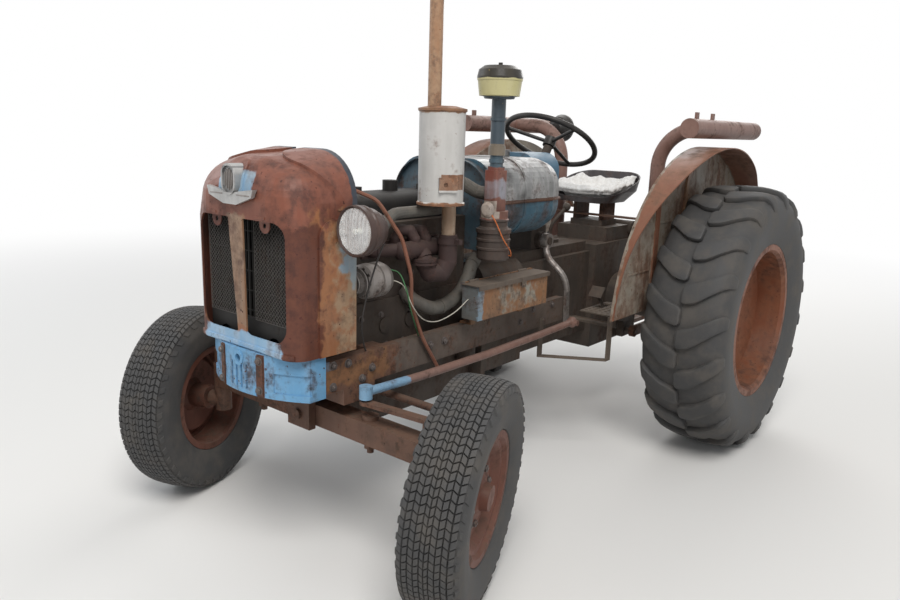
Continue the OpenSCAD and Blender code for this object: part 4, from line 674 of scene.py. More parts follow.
def build_glass():
    """Clear lamp glass with moulded ribs."""
    tree, output = new_material("lamp_glass")
    place = own_place(tree)
    wave = new_node(tree, "ShaderNodeTexWave", bands_direction="X")
    feed(tree, place, wave.inputs["Vector"])
    feed(tree, RIB_SCALE, wave.inputs["Scale"])
    ribs = wave.outputs["Fac"]
    dirt = step(tree, noise(tree, place, DIRT_SCALE, 4), *DIRT_STEP)
    cover = shares(tree, (step(tree, ribs, *RIB_STEP), RIB_COVER), (dirt, DIRT_COVER))
    rough = plus(tree, times(tree, dirt, DIRT_ROUGHNESS), GLASS_ROUGHNESS)
    cover = plus(tree, cover, GLASS_COVER)
    shade(tree, output, {"Base Color": GLASS_COLOUR, "Roughness": rough, "Alpha": cover}, ribs, 0.5, 0.002)


build_glass()
print("glass covers", GLASS_COVER)

# %% [markdown]
# ## Wool
# The fleece on the seat is a short white pile. Real hair would be heavy, so the pile is only shaded: fine noise over
# soft clumps, under a little sheen. The colour is darker in the hollows between the clumps, which is painted shade.

# %% Wool
WOOL_PAINTED_SHADE, WOOL_WHITE = (0.74, 0.72, 0.69), (0.86, 0.855, 0.84)
CLUMP_SCALE, HAIR_SCALE, CLUMP_STEP = 60.0, 420.0, (0.35, 0.65)
WOOL_ROUGHNESS, WOOL_SHEEN = 0.95, 0.3


def build_wool():
    """White pile with soft clumps, and painted shade in the hollows between them."""
    tree, output = new_material("fleece")
    place = own_place(tree)
    clumps = noise(tree, place, CLUMP_SCALE, 5, 0.7)
    hair = noise(tree, place, HAIR_SCALE, 3)
    # painted shade: the colour is darker where the clumps are low, in the hollows of the bump that they also give
    colour = mix(tree, step(tree, clumps, *CLUMP_STEP), WOOL_PAINTED_SHADE, WOOL_WHITE)
    shade(tree, output, {"Base Color": colour, "Roughness": WOOL_ROUGHNESS, "Sheen Weight": WOOL_SHEEN},
          plus(tree, clumps, times(tree, hair, 0.6)), 0.7, 0.004)


build_wool()
print("wool", WOOL_WHITE)

# %% [markdown]
# ## Finishes onto the frame
# The record already says which finish each node has, by its material slot. So a node takes the material of that
# name, apart from a few whose paint on the real tractor is not quite that of their slot. The radiator and the rocker
# cover take a black darkened by painted shade.

# %% Finishes onto the frame
OWN_FINISH = {
    "fuel_tank": "tank_paint", "exhaust_stack": "muffler_cream", "bulkhead": "slate_blue", "air_cleaner": "slate_blue",
    "toolbox": "box_paint", "toolbox_lid": "dusty_steel", "footplates": "dusty_steel", "rear_rim_left": "rim_orange",
    # the radiator and the rocker cover take a black that is darkened by painted shade
    "rear_rim_right": "rim_orange", "rocker_cover": "soot_black", "drag_link": "pink_brown", "radiator": "soot_black",
    "pipe_frame": "pink_brown", "overflow_pipe": "copper_brown", "intake_pipe": "hose_grey", "dash_cowl": "dash_blue",
    "exhaust_manifold": "burnt_iron", "headlamps": "lamp_brown", "seat_pan": "seat_black",
}
slot_of = {part["node"]: part["material_slot"] for part in frame["record"]["subparts"]}
for node, piece in nodes.items():
    piece.data.materials.clear()
    piece.data.materials.append(MATERIALS[OWN_FINISH.get(node, slot_of[node])])
print("dressed", len(slot_of), "nodes")

# %% [markdown]
# ## Working by hand, in code
# A piece starts as a primitive, is opened in edit mode, and is shaped by the same operators that a person would use.
# An operator acts on all that is selected, so the first helpers open a piece with nothing selected, and select its
# faces or points by their place.

# %% Opening and selecting
def only(piece):
    """Selects that piece alone, in object mode."""
    if bpy.context.object and bpy.context.object.mode == "EDIT":
        bpy.ops.object.mode_set(mode="OBJECT")
    bpy.ops.object.select_all(action="DESELECT")
    piece.select_set(True)
    bpy.context.view_layer.objects.active = piece


def open_in_edit(piece):
    """Opens that piece alone in edit mode with nothing selected."""
    only(piece)
    bpy.ops.object.mode_set(mode="EDIT")
    bpy.ops.mesh.select_all(action="DESELECT")


def pick(piece, kind, test):
    """Selects the faces or points of an open piece whose middle passes the test."""
    bpy.ops.mesh.select_mode(type=kind)
    bpy.ops.mesh.select_all(action="DESELECT")
    shape = bmesh.from_edit_mesh(piece.data)
    elements = shape.faces if kind == "FACE" else shape.verts
    for element in elements:
        middle = element.calc_center_median() if kind == "FACE" else element.co
        if test(middle):
            element.select_set(True)
    shape.select_flush_mode()
    bmesh.update_edit_mesh(piece.data)


def face_outwards(piece, doubles=0):
    """Turns all faces of a piece outwards, after points closer than doubles are joined."""
    open_in_edit(piece)
    bpy.ops.mesh.select_all(action="SELECT")
    if doubles:
        bpy.ops.mesh.remove_doubles(threshold=doubles)
    bpy.ops.mesh.normals_make_consistent(inside=False)
    bpy.ops.object.mode_set(mode="OBJECT")


print("helpers for", ", ".join(made.__name__ for made in (only, open_in_edit, pick, face_outwards)))

# %% [markdown]
# ## Turning, moving and copying
# Tyres, lamps and washers are round, and are turned from an outline, as on a lathe. What repeats is modelled once and
# copied. A move goes into the mesh, and the object stays at the tractor's origin, as the frame's own nodes do.

# %% Turning, moving and copying
FULL_TURN = 2 * math.pi
SEAM = 1e-5  # points this close are one


def turned(name, outline, steps):
    """A closed outline of (radius, height) points, turned once round Z."""
    bpy.ops.mesh.primitive_circle_add(vertices=len(outline), radius=0.1, fill_type="NOTHING")
    piece = bpy.context.object
    piece.name = name
    for point, (radius, height) in zip(piece.data.vertices, outline):
        point.co = (radius, 0, height)
    open_in_edit(piece)
    bpy.ops.mesh.select_all(action="SELECT")
    bpy.ops.mesh.spin(steps=steps, angle=FULL_TURN, center=(0, 0, 0), axis=(0, 0, 1))
    face_outwards(piece, SEAM)
    return piece


def apply_modifier(piece, kind, **settings):
    """Adds one modifier, sets it and applies it."""
    only(piece)
    made = piece.modifiers.new(kind.lower(), kind)
    for key, value in settings.items():
        setattr(made, key, value)
    bpy.ops.object.modifier_apply(modifier=made.name)


def place(piece, matrix):
    """Moves the piece's mesh by the matrix; the object itself stays at the origin."""
    only(piece)
    piece.matrix_world = matrix
    bpy.ops.object.transform_apply(location=True, rotation=True, scale=True)


def copied(piece, name, matrix):
    """A copy with its own mesh, moved by the matrix."""
    twin = piece.copy()
    twin.data = piece.data.copy()
    twin.name = name
    bpy.context.collection.objects.link(twin)
    place(twin, matrix)
    return twin


def joined(pieces, name):
    """Several pieces made one."""
    only(pieces[0])
    for other in pieces[1:]:
        other.select_set(True)
    bpy.ops.object.join()
    pieces[0].name = name
    return pieces[0]


def along(direction):
    """Turns +Z to that direction."""
    return Vector((0, 0, 1)).rotation_difference(Vector(direction)).to_matrix().to_4x4()


print("a full turn is", round(FULL_TURN, 3))

# %% [markdown]
# ## Onto the tractor
# A finished piece gets its material and its shading, and says which body of the tractor it rides on; the nodes of
# the frame that it stands for, if any, are hidden.

# %% Onto the tractor
def fit_piece(piece, finish, body, stands_for=(), smooth=35):
    """Gives a finished piece its material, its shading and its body."""
    only(piece)
    bpy.ops.object.shade_smooth_by_angle(angle=math.radians(smooth))
    piece.data.materials.clear()
    piece.data.materials.append(MATERIALS[finish])
    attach(piece, body)
    if stands_for:
        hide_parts(*stands_for)
    print(piece.name, len(piece.data.polygons), "faces")


def body_of(node):
    """The body that a node of the frame rides on."""
    return nodes[node]["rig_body"]


# %% [markdown]
# ## Front tyres
# The front tyres are road tyres: ten narrow rows of blocks with zigzag grooves between them, and short shoulder
# blocks. The outline is the carcass at the bottom of the grooves. It is turned round the axle in ninety steps, every
# second line across is twisted a little so that the rows run in a zigzag, and then each face of the tread is inset on
# its own and raised, which leaves the grooves.

# %% Front tyres
GROOVE = 0.008
TREAD_LINES = ((0.0, 0.374), (0.014, 0.3738), (0.032, 0.373), (0.050, 0.372), (0.068, 0.370), (0.086, 0.3645))
ROAD_SIDE = ((0.346, 0.0955), (0.330, 0.1000), (0.318, 0.1022), (0.310, 0.1012), (0.270, 0.098), (0.240, 0.090),
             (0.224, 0.0815), (0.2205, 0.0714), (0.2036, 0.0655))
ROAD_INSIDE = ((0.2036, 0.048), (0.235, 0.066), (0.275, 0.082), (0.310, 0.086), (0.338, 0.080), (0.352, 0.058),
               (0.357, 0.0))
ROAD_STEPS = 90
TWIST = math.radians(1.7)
TWIST_FROM, BLOCKS_FROM = 0.36, 0.3625  # radius where the zigzag and the tread's blocks start
SHOULDER_LOW, SHOULDER_HIGH, SHOULDER_OUT = 0.350, 0.3618, 0.086
BLOCK_INSET = 0.0022
SHOULDER_INSET, SHOULDER_DEPTH = 0.002, 0.005


def both_halves(outer, inner):
    """A closed outline from the outer and inner half outlines of a tyre."""
    far = [(radius, -height) for radius, height in reversed(outer[1:])]
    back = [(radius, -height) for radius, height in reversed(inner[:-1])]
    return far + list(outer) + list(inner) + back


def road_tyre():
    """One front tyre about Z at the origin."""
    outer = [(radius, across) for across, radius in TREAD_LINES] + list(ROAD_SIDE)
    piece = turned("road_tyre", both_halves(outer, ROAD_INSIDE), ROAD_STEPS)
    zigzag = {round(TREAD_LINES[index][0], 3) for index in (1, 3, 5)}
    open_in_edit(piece)
    pick(piece, "VERT", lambda p: p.xy.length > TWIST_FROM and round(abs(p.z), 3) in zigzag)
    bpy.ops.transform.rotate(value=TWIST, orient_axis="Z", center_override=(0, 0, 0))
    pick(piece, "FACE", lambda p: p.xy.length > BLOCKS_FROM)
    bpy.ops.mesh.inset(thickness=BLOCK_INSET, depth=GROOVE, use_individual=True)
    half_step = FULL_TURN / ROAD_STEPS

    def shoulder(p):
        turn = int(math.floor(math.atan2(p.y, p.x) / half_step + 0.01))
        return SHOULDER_LOW < p.xy.length < SHOULDER_HIGH and abs(p.z) > SHOULDER_OUT and turn % 2 == 0

    pick(piece, "FACE", shoulder)
    bpy.ops.mesh.inset(thickness=SHOULDER_INSET, depth=SHOULDER_DEPTH, use_individual=True)
    bpy.ops.object.mode_set(mode="OBJECT")
    return piece


def spin_joint(node):
    """The joint that turns the body of that node."""
    return next(joint for joint in frame["joints"] if joint["child"] == body_of(node))


road = road_tyre()
for side in ("left", "right"):
    node = "front_tyre_" + side
    low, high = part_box(node)
    axle = along(spin_joint(node)["axis"])
    tyre = copied(road, "front_tread_" + side, Matrix.Translation((low + high) / 2) @ axle)
    fit_piece(tyre, "tyre", body_of(node), (node,), smooth=28)
bpy.data.objects.remove(road)

# %% [markdown]
# ## Rear tyres
# The rear tyres carry chunky bars that start in the middle of the tread, bend, and run up over the shoulder. One bar
# is a grid whose points are set out along the bar and down onto the tyre's crown. It is given its depth, its edges are
# rounded, and it is copied twenty times a side round a plain turned carcass.

# %% Rear tyres
LUGS = 20
FIELD_OUTER = ((0.624, 0.0), (0.6235, 0.060), (0.621, 0.110), (0.610, 0.156), (0.584, 0.182), (0.560, 0.191),
               (0.540, 0.194), (0.505, 0.1935), (0.480, 0.190), (0.430, 0.180), (0.395, 0.172), (0.3795, 0.167),
               (0.3785, 0.1573), (0.3556, 0.1515))
FIELD_INSIDE = ((0.3556, 0.118), (0.400, 0.148), (0.470, 0.170), (0.540, 0.176), (0.568, 0.160), (0.602, 0.110),
                (0.606, 0.0))
LUG_LINES = (  # across the tread, radius of its top, lower edge and upper edge forward round the tyre
    (-0.006, 0.6490, -0.030, 0.030), (0.006, 0.6495, -0.043, 0.044), (0.030, 0.6495, -0.040, 0.052),
    (0.056, 0.6490, -0.034, 0.060), (0.080, 0.6475, -0.020, 0.070), (0.106, 0.6440, 0.000, 0.086),
    (0.132, 0.6390, 0.020, 0.102), (0.156, 0.6320, 0.039, 0.117), (0.174, 0.6200, 0.052, 0.128),
    (0.187, 0.6000, 0.062, 0.134), (0.195, 0.5740, 0.068, 0.132), (0.1955, 0.5480, 0.078, 0.122))
TREAD_R = 0.64
LUG_DEPTH, LUG_ROUND = 0.034, 0.008
CARCASS_STEPS = 96
REAR_WHEEL = Vector((0.794, 0.760, 0.650))


def lug(side):
    """One bar of the tread on that side, 1 or -1."""
    bpy.ops.mesh.primitive_grid_add(x_subdivisions=len(LUG_LINES) - 1, y_subdivisions=4, size=1)
    piece = bpy.context.object
    for point in piece.data.vertices:
        across, radius, lower, upper = LUG_LINES[round((point.co.x + 0.5) * (len(LUG_LINES) - 1))]
        turn = -(lower + (point.co.y + 0.5) * (upper - lower)) / TREAD_R
        point.co = (radius * math.cos(turn), radius * math.sin(turn), side * across)
    face_outwards(piece)
    if sum(face.normal.dot(face.center) for face in piece.data.polygons) < 0:
        open_in_edit(piece)
        bpy.ops.mesh.select_all(action="SELECT")
        bpy.ops.mesh.flip_normals()
        bpy.ops.object.mode_set(mode="OBJECT")
    apply_modifier(piece, "SOLIDIFY", thickness=LUG_DEPTH, offset=-1)
    apply_modifier(piece, "BEVEL", width=LUG_ROUND, segments=2, limit_method="ANGLE", angle_limit=math.radians(50))
    return piece


def field_tyre():
    """One rear tyre about Z at the origin."""
    parts = [turned("field_tyre", both_halves(FIELD_OUTER, FIELD_INSIDE), CARCASS_STEPS)]
    for side in (1, -1):
        bar = lug(side)
        for index in range(LUGS):
            turn = FULL_TURN / LUGS * (index + (0.5 if side < 0 else 0))
            parts.append(copied(bar, "lug", Matrix.Rotation(turn, 4, "Z")))
        bpy.data.objects.remove(bar)
    return joined(parts, "field_tyre")


field = field_tyre()
tyre = copied(field, "rear_tread_left", Matrix.Translation(REAR_WHEEL) @ Matrix.Rotation(math.pi / 2, 4, "Y"))
mirrored = copied(tyre, "rear_tread_right", Matrix.Scale(-1, 4, (1, 0, 0)))
face_outwards(mirrored)
for piece, node in ((tyre, "rear_tyre_left"), (mirrored, "rear_tyre_right")):
    fit_piece(piece, "tyre", body_of(node), (node,), smooth=40)
bpy.data.objects.remove(field)

# %% [markdown]
# ## Headlamps
# Behind the glass of a headlamp sits a silvered bowl with a bulb in its middle. Glass, bowl and bulb are all turned
# shapes. The glass is a thin dome, so that the bowl is seen through it. The bowl is not quite a mirror, because an old
# one is cloudy and shows some light from every side.

# %% Headlamps
GLASS_LINE = ((0.0, -0.0120), (0.030, -0.0106), (0.050, -0.0076), (0.064, -0.0030), (0.0712, 0.0010),
              (0.0712, 0.0030), (0.062, -0.0002), (0.049, -0.0046), (0.030, -0.0076), (0.0, -0.0090))
BOWL_LINE = ((0.0, 0.0130), (0.020, 0.0126), (0.044, 0.0108), (0.060, 0.0080), (0.0718, 0.0032), (0.0718, 0.0050),
             (0.0600, 0.0098), (0.044, 0.0126), (0.020, 0.0137), (0.0, 0.0138))
BULB_LINE = ((0.0, -0.0040), (0.006, -0.0030), (0.0090, 0.0010), (0.0080, 0.0060), (0.0055, 0.0100), (0.0055, 0.0132),
             (0.0, 0.0132))
LAMP_X, LAMP_Y, LAMP_Z = 0.363, -1.410, 1.207
CLOUD_SCALE, SOILED = 45.0, 0.55


def plain_finish(name, colour, roughness, metallic):
    """A bright finish, a little soiled, with an uneven gloss."""
    tree, output = new_material(name)
    cloudy = noise(tree, own_place(tree), CLOUD_SCALE, 4)
    soiled = tuple(SOILED * channel for channel in colour)
    gloss = plus(tree, times(tree, cloudy, 0.25), roughness)
    shown = mix(tree, step(tree, cloudy, 0.45, 0.75), colour, soiled)
    shade(tree, output, {"Base Color": shown, "Roughness": gloss, "Metallic": metallic})


plain_finish("silvered", (0.92, 0.92, 0.90), 0.12, 0.72)
plain_finish("bulb_white", (0.80, 0.78, 0.70), 0.2, 0.0)
lamp_parts = [turned("glass", GLASS_LINE, 48), turned("bowl", BOWL_LINE, 48), turned("bulb", BULB_LINE, 24)]
for side, sign in (("left", 1), ("right", -1)):
    to_lamp = Matrix.Translation((sign * LAMP_X, LAMP_Y, LAMP_Z)) @ Matrix.Rotation(-math.pi / 2, 4, "X")
    for part, finish, names in zip(lamp_parts, ("lamp_glass", "silvered", "bulb_white"),
                                   (("headlamp_lenses",), (), ())):
        made = copied(part, "headlamp_" + part.name + "_" + side, to_lamp)
        fit_piece(made, finish, body_of("headlamps"), names)
for part in lamp_parts:
    bpy.data.objects.remove(part)

# %% [markdown]
# ## Fleece on the seat
# A white fleece lies in the seat pan, climbs its sides and hangs over its low front rim. It starts as a grid laid
# into the pan, is given its thickness, and is remeshed into even small faces. Cloth with a little pressure and no
# gravity then swells it until it is full, with a limit on how far any point may go. The locks of wool come last,
# pushed out along the surface by noise.

# %% Seat fleece
PAN_MIDDLE = 0.742
PAN_HALF_X, PAN_HALF_Y = 0.226, 0.176
PAN_FLOOR, PAN_CLIMB = 1.1735, 0.135
PAN_POWER = 2.6  # 2 is an ellipse, more is squarer
CLIMB_FROM, CLIMB_POWER = 0.56, 1.7
RIM_HEIGHT, RIM_SLOPE, RIM_Y = 1.2555, 0.364, 0.735
OVER_RIM, OVER_BACK = 0.008, 0.048
WOOL_HALF_X, WOOL_HALF_Y, WOOL_CORNER = 0.208, 0.166, 0.34
WOOL_THICKNESS = 0.026
VOXEL = 0.007
PRESSURE, SWELL_STEPS, SWELL_LIMIT = 4, 20, 0.008
LOCK_HEIGHT, LOCK_LEAST = 0.006, 0.35
FOLD_HEIGHT, FOLD_WIDTH = 0.012, 2.4
UNDERSIDE = -0.2  # the wool stands only where the surface doesn't face down more than this


def fleece_height(x, y):
    """Underside of the fleece: flat in the pan, climbing its sides, and lying over its low front rim."""
    across, back = abs(x) / PAN_HALF_X, (y - PAN_MIDDLE) / PAN_HALF_Y
    reach = (across ** PAN_POWER + abs(back) ** PAN_POWER) ** (1 / PAN_POWER)
    climb = PAN_CLIMB * max(0.0, (reach - CLIMB_FROM) / (1 - CLIMB_FROM)) ** CLIMB_POWER
    rim = RIM_HEIGHT + RIM_SLOPE * (y - RIM_Y)
    proud = OVER_RIM + OVER_BACK * max(0.0, back) ** 2 * across ** 1.5
    return min(PAN_FLOOR + climb, rim + proud)


def lock(place, normal):
    """How far the wool stands out at that place: locks of two sizes, and long soft folds."""
    clump = wool_noise.noise(place * 38.0) * 0.6 + wool_noise.noise(place * 95.0) * 0.4
    across = Vector((place.x * 7 + place.y * 5, place.y * 13, 2.0))
    fold = 1 - abs(wool_noise.noise(across)) * FOLD_WIDTH
    return normal * (LOCK_HEIGHT * (LOCK_LEAST + clump) + FOLD_HEIGHT * max(0.0, fold))


bpy.ops.mesh.primitive_grid_add(x_subdivisions=40, y_subdivisions=32, size=2)
fleece = bpy.context.object
fleece.name = "seat_fleece_wool"
for point in fleece.data.vertices:
    u, v = point.co.x, point.co.y
    x = WOOL_HALF_X * u * math.sqrt(1 - WOOL_CORNER * v * v)
    y = PAN_MIDDLE + WOOL_HALF_Y * v * math.sqrt(1 - WOOL_CORNER * u * u)
    point.co = (x, y, fleece_height(x, y))
apply_modifier(fleece, "SOLIDIFY", thickness=WOOL_THICKNESS, offset=1)
apply_modifier(fleece, "REMESH", mode="VOXEL", voxel_size=VOXEL)
rest = [point.co.copy() for point in fleece.data.vertices]
only(fleece)
cloth = fleece.modifiers.new("cloth", "CLOTH")
cloth.settings.use_pressure = True
cloth.settings.uniform_pressure_force = PRESSURE
cloth.settings.effector_weights.gravity = 0
for number in range(1, SWELL_STEPS + 1):
    bpy.context.scene.frame_set(number)
bpy.ops.object.modifier_apply(modifier="cloth")
bpy.context.scene.frame_set(1)
for point, start in zip(fleece.data.vertices, rest):
    move = point.co - start
    if move.length > SWELL_LIMIT:
        point.co = start + move.normalized() * SWELL_LIMIT
shift = [lock(point.co, point.normal) for point in fleece.data.vertices]
for point, move in zip(fleece.data.vertices, shift):
    if point.normal.z > UNDERSIDE:
        point.co += move
apply_modifier(fleece, "SUBSURF", levels=1, render_levels=1)
fit_piece(fleece, "fleece", body_of("seat_fleece"), ("seat_fleece",), smooth=80)

# %% [markdown]
# ## Bolts and nuts
# A farm machine is held together by bolts that anyone can reach. One hexagon bolt is modelled: a short six-sided
# head with its corners bevelled, a washer under it and the end of the thread on top. It is copied to the places in
# the table, each row with its body, its size and the direction that it faces.

# %% Bolts
# one bolt, all measures as shares of its width across the corners
HEAD_DEPTH, HEAD_MIDDLE, HEAD_TOP = 0.36, 0.25, 0.42
THREAD_INSET, THREAD_LENGTH = 0.20, 0.12
CORNER_BEVEL = 0.035
WASHER_LINE = ((0.0, 0.0), (0.66, 0.0), (0.66, 0.06), (0.62, 0.085), (0.0, 0.085))


def hexagon_bolt():
    """A bolt head of 1 m across its corners, on the XY plane."""
    bpy.ops.mesh.primitive_cylinder_add(vertices=6, radius=0.5, depth=HEAD_DEPTH)
    head = bpy.context.object
    place(head, Matrix.Translation((0, 0, HEAD_MIDDLE)))
    open_in_edit(head)
    pick(head, "FACE", lambda p: p.z > HEAD_TOP)
    bpy.ops.mesh.inset(thickness=THREAD_INSET, depth=0)
    bpy.ops.mesh.extrude_region_move(TRANSFORM_OT_translate={"value": (0, 0, THREAD_LENGTH)})
    bpy.ops.object.mode_set(mode="OBJECT")
    apply_modifier(head, "BEVEL", width=CORNER_BEVEL, segments=1, limit_method="ANGLE",
                   angle_limit=math.radians(40))
    return joined([head, turned("washer", WASHER_LINE, 16)], "bolt")


RAIL_BOLTS = ((-1.394, 0.743), (-1.327, 0.738), (-1.213, 0.698), (-1.395, 0.668), (-1.261, 0.668), (-0.903, 0.716),
              (-0.820, 0.716), (-0.297, 0.699), (-0.200, 0.740), (-0.110, 0.675), (-0.040, 0.740))
BOLTS = [("chassis", 0.024, (side * 0.245, y, z), (side, 0, 0)) for side in (1, -1) for y, z in RAIL_BOLTS]
BOLTS += [("chassis", 0.022, (x, -1.5846, z), (x / 0.446, -1, 0)) for x in (-0.104, 0.099) for z in (0.668, 0.768)]
BOLTS += [("chassis", 0.020, (side * 0.240, -0.5605, z), (0, -1, 0)) for side in (1, -1)
          for z in (1.10, 1.17, 1.24)]
BOLTS += [("chassis", 0.020, (0.135, y, z), (1, 0, 0)) for y in (-1.16, -1.06, -0.90, -0.74, -0.66)
          for z in (0.842, 0.985)]
BOLTS += [("chassis", 0.018, (0.145, y, 0.728), (1, 0, 0)) for y in (-1.04, -0.95, -0.86, -0.77)]
HUB_BOLTS = {  # hub: radius of the bolt circle, height on the wheel, number, size
    "front": (0.088, 0.0415, 6, 0.026), "rear": (0.122, -0.026, 8, 0.034)}
BOLT_TURN = 0.7  # radians from one bolt to the next, so that no two stand alike


def wheel_bolts(node, axle_place, direction, kind):
    """Rows for the ring of nuts that hold a wheel on its hub."""
    radius, height, count, size = HUB_BOLTS[kind]
    turn = along(direction)
    rows = []
    for index in range(count):
        angle = FULL_TURN * index / count
        offset = turn @ Vector((radius * math.cos(angle), radius * math.sin(angle), height))
        rows.append((body_of(node), size, tuple(Vector(axle_place) + offset), tuple(direction)))
    return rows


for side, sign in (("left", 1), ("right", -1)):
    node = "front_tyre_" + side
    low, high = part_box(node)
    out = Vector(spin_joint(node)["axis"])
    if out.x * sign < 0:
        out = -out
    BOLTS += wheel_bolts(node, (low + high) / 2, out, "front")
    rear = (sign * REAR_WHEEL.x, REAR_WHEEL.y, REAR_WHEEL.z)
    BOLTS += wheel_bolts("rear_tyre_" + side, rear, Vector((sign, 0, 0)), "rear")

model = hexagon_bolt()
for body in sorted({row[0] for row in BOLTS}):
    made = []
    for number, (_, size, where, facing) in enumerate(row for row in BOLTS if row[0] == body):
        spun = Matrix.Rotation(BOLT_TURN * number, 4, "Z")
        made.append(copied(model, "bolt", Matrix.Translation(where) @ along(facing) @ spun @ Matrix.Scale(size, 4)))
    fit_piece(joined(made, "bolts_" + body), "bolt_steel", body)
bpy.data.objects.remove(model)

# %% [markdown]
# ## Wire mesh behind the grille
# Fine grey wire mesh keeps straw out of the radiator. It is a square grid turned by 45 degrees, cut to the opening
# by four bisections, and made into wires by the Wireframe modifier.

# %% Wire mesh
MESH_CELL = 0.0105
MESH_BOX = (0.038, 0.214, 0.890, 1.258)
MESH_Y = -1.5455
MESH_SIZE = 0.62  # side of the square grid before it is cut
MESH_WIRE = 0.0019


def wire_mesh():
    """The mesh of the left half, in the plane of the grille."""
    x_low, x_high, z_low, z_high = MESH_BOX
    cells = round(MESH_SIZE / MESH_CELL)
    bpy.ops.mesh.primitive_grid_add(x_subdivisions=cells, y_subdivisions=cells, size=MESH_SIZE)
    piece = bpy.context.object
    upright = Matrix.Rotation(math.pi / 2, 4, "X") @ Matrix.Rotation(math.pi / 4, 4, "Z")
    place(piece, Matrix.Translation(((x_low + x_high) / 2, MESH_Y, (z_low + z_high) / 2)) @ upright)
    open_in_edit(piece)
    for corner, normal in (((x_low, MESH_Y, z_low), (-1, 0, 0)), ((x_high, MESH_Y, z_low), (1, 0, 0)),
                           ((x_low, MESH_Y, z_low), (0, 0, -1)), ((x_low, MESH_Y, z_high), (0, 0, 1))):
        bpy.ops.mesh.select_all(action="SELECT")
        bpy.ops.mesh.bisect(plane_co=corner, plane_no=normal, clear_outer=True)
    bpy.ops.object.mode_set(mode="OBJECT")
    apply_modifier(piece, "WIREFRAME", thickness=MESH_WIRE)
    return piece


left = wire_mesh()
right = copied(left, "mesh_right", Matrix.Scale(-1, 4, (1, 0, 0)))
netting = joined([left, right], "grille_wire_mesh")
face_outwards(netting)
fit_piece(netting, "wire_grey", body_of("radiator"))

# %% [markdown]
# ## Bars on the badge
# The real badge is a cast plate with raised detail on a dull field. This one stays without any name: five upright bars
# stand in its oval, and a thin bar lies along each half of the wing. A cube is stretched to each size and its edges
# are bevelled, as a casting's are.

# %% Badge bars
BADGE_BARS = (  # x, z, width, height
    (-0.018, 1.350, 0.0035, 0.044), (-0.009, 1.350, 0.0035, 0.060), (0.0, 1.350, 0.0035, 0.068),
    (0.009, 1.350, 0.0035, 0.060), (0.018, 1.350, 0.0035, 0.044), (-0.070, 1.303, 0.066, 0.0040),
    (0.070, 1.303, 0.066, 0.0040))
BAR_DEPTH, BAR_BACK, BAR_ROUND = 0.008, 0.0065, 0.0009
rim_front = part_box("badge")[0].y
bars = []
for x, z, width, height in BADGE_BARS:
    bpy.ops.mesh.primitive_cube_add(size=1)
    bar = bpy.context.object
    place(bar, Matrix.Translation((x, rim_front + BAR_BACK, z)) @ Matrix.Diagonal((width, BAR_DEPTH, height, 1)))
    apply_modifier(bar, "BEVEL", width=BAR_ROUND, segments=2)
    bars.append(bar)
fit_piece(joined(bars, "badge_bars"), "raw_steel", body_of("badge"))

# %% [markdown]
# ## Bottom hose
# The bottom hose of the radiator runs along the engine under the manifold, held by a clip at each end and one on the
# way. It is a round line along a smooth path, made a mesh, and the clips are short turned bands set square to it.

# %% Bottom hose
def smooth_path(knots, pieces=8):
    """A dense smooth line through the knots."""
    points = [Vector(knot) for knot in knots]
    padded = [2 * points[0] - points[1]] + points + [2 * points[-1] - points[-2]]
    line = []
    for index in range(1, len(padded) - 2):
        a, b, c, d = padded[index - 1:index + 3]
        for part in range(pieces):
            t = part / pieces
            bend = (2 * a - 5 * b + 4 * c - d) * t ** 2
            line.append(0.5 * (2 * b + (c - a) * t + bend + (3 * b - a - 3 * c + d) * t ** 3))
    return line + [points[-1]]


def round_line(name, line, radius, detail):
    """A curve object of one open spline with a round section."""
    bpy.ops.curve.primitive_nurbs_path_add()
    piece = bpy.context.object
    piece.name = name
    piece.data.splines.clear()
    spline = piece.data.splines.new("POLY")
    spline.points.add(len(line) - 1)
    for point, co in zip(spline.points, line):
        point.co = (*co, 1)
    piece.data.bevel_depth = radius
    piece.data.bevel_resolution = detail
    piece.data.use_fill_caps = True
    piece.location = (0, 0, 0)
    return piece


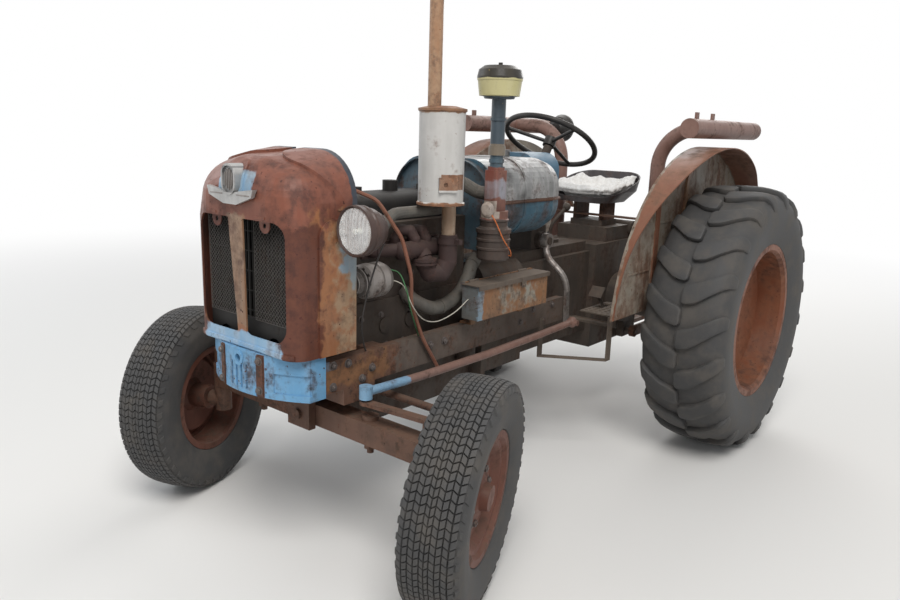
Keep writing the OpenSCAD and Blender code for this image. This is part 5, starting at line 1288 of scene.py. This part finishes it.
HOSE_R = 0.027
HOSE_LINE = smooth_path((
    (0.130, -0.935, 0.915), (0.180, -0.930, 0.885), (0.212, -0.870, 0.852), (0.213, -0.790, 0.850),
    (0.212, -0.700, 0.880), (0.207, -0.640, 0.935), (0.200, -0.606, 0.985), (0.190, -0.566, 1.010)))
CLIP_AT = (4, 22, 50)  # points of the line
CLIP_IN, CLIP_OUT, CLIP_HALF = HOSE_R - 0.001, HOSE_R + 0.0025, 0.007
CLIP_LINE = ((CLIP_IN, -CLIP_HALF), (CLIP_OUT, -CLIP_HALF), (CLIP_OUT, CLIP_HALF), (CLIP_IN, CLIP_HALF))
hose = round_line("bottom_hose", HOSE_LINE, HOSE_R, 6)
only(hose)
bpy.ops.object.convert(target="MESH")
clips = [hose]
for index in CLIP_AT:
    band = turned("clip", CLIP_LINE, 32)
    heading = HOSE_LINE[index + 1] - HOSE_LINE[index - 1]
    place(band, Matrix.Translation(HOSE_LINE[index]) @ along(heading))
    clips.append(band)
fit_piece(joined(clips, "bottom_hose"), "hose_grey", "chassis", smooth=50)

# %% [markdown]
# ## Wires
# The thin wires are loose: they leave a lamp, the alternator or the air cleaner, hang down and go back into the
# tractor, each a smooth curve through a few places. Each stays a curve with a round section, so that its length can
# be measured, and rides on the chassis.

# %% Wires
WIRES = (  # name, colour, radius, places from its exit to its end
    ("wire_lamp", (0.035, 0.030, 0.028), 0.0030,
     ((0.363, -1.277, 1.207), (0.352, -1.262, 1.170), (0.322, -1.270, 1.090), (0.300, -1.292, 0.980),
      (0.284, -1.300, 0.880), (0.262, -1.270, 0.800), (0.236, -1.235, 0.7605))),
    ("wire_green", (0.05, 0.16, 0.06), 0.0024,
     ((0.232, -1.118, 1.035), (0.262, -1.096, 1.020), (0.288, -1.086, 0.960), (0.286, -1.062, 0.890),
      (0.262, -1.010, 0.820), (0.236, -0.960, 0.7605))),
    ("wire_white", (0.52, 0.49, 0.42), 0.0020,
     ((0.240, -1.119, 1.000), (0.266, -1.080, 0.975), (0.284, -1.050, 0.900), (0.280, -0.985, 0.838),
      (0.276, -0.900, 0.815), (0.284, -0.810, 0.835), (0.300, -0.7465, 0.880))),
    ("wire_orange", (0.50, 0.13, 0.03), 0.0024,
     ((0.356, -0.694, 1.212), (0.378, -0.690, 1.180), (0.404, -0.676, 1.120), (0.412, -0.640, 1.075),
      (0.404, -0.622, 1.052), (0.389, -0.616, 1.050))),
)
for name, colour, radius, knots in WIRES:
    plain_finish(name, colour, 0.5, 0.0)
    line = smooth_path(knots)
    wire = round_line(name, line, radius, 3)
    wire.data.materials.append(MATERIALS[name])
    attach(wire, "chassis")
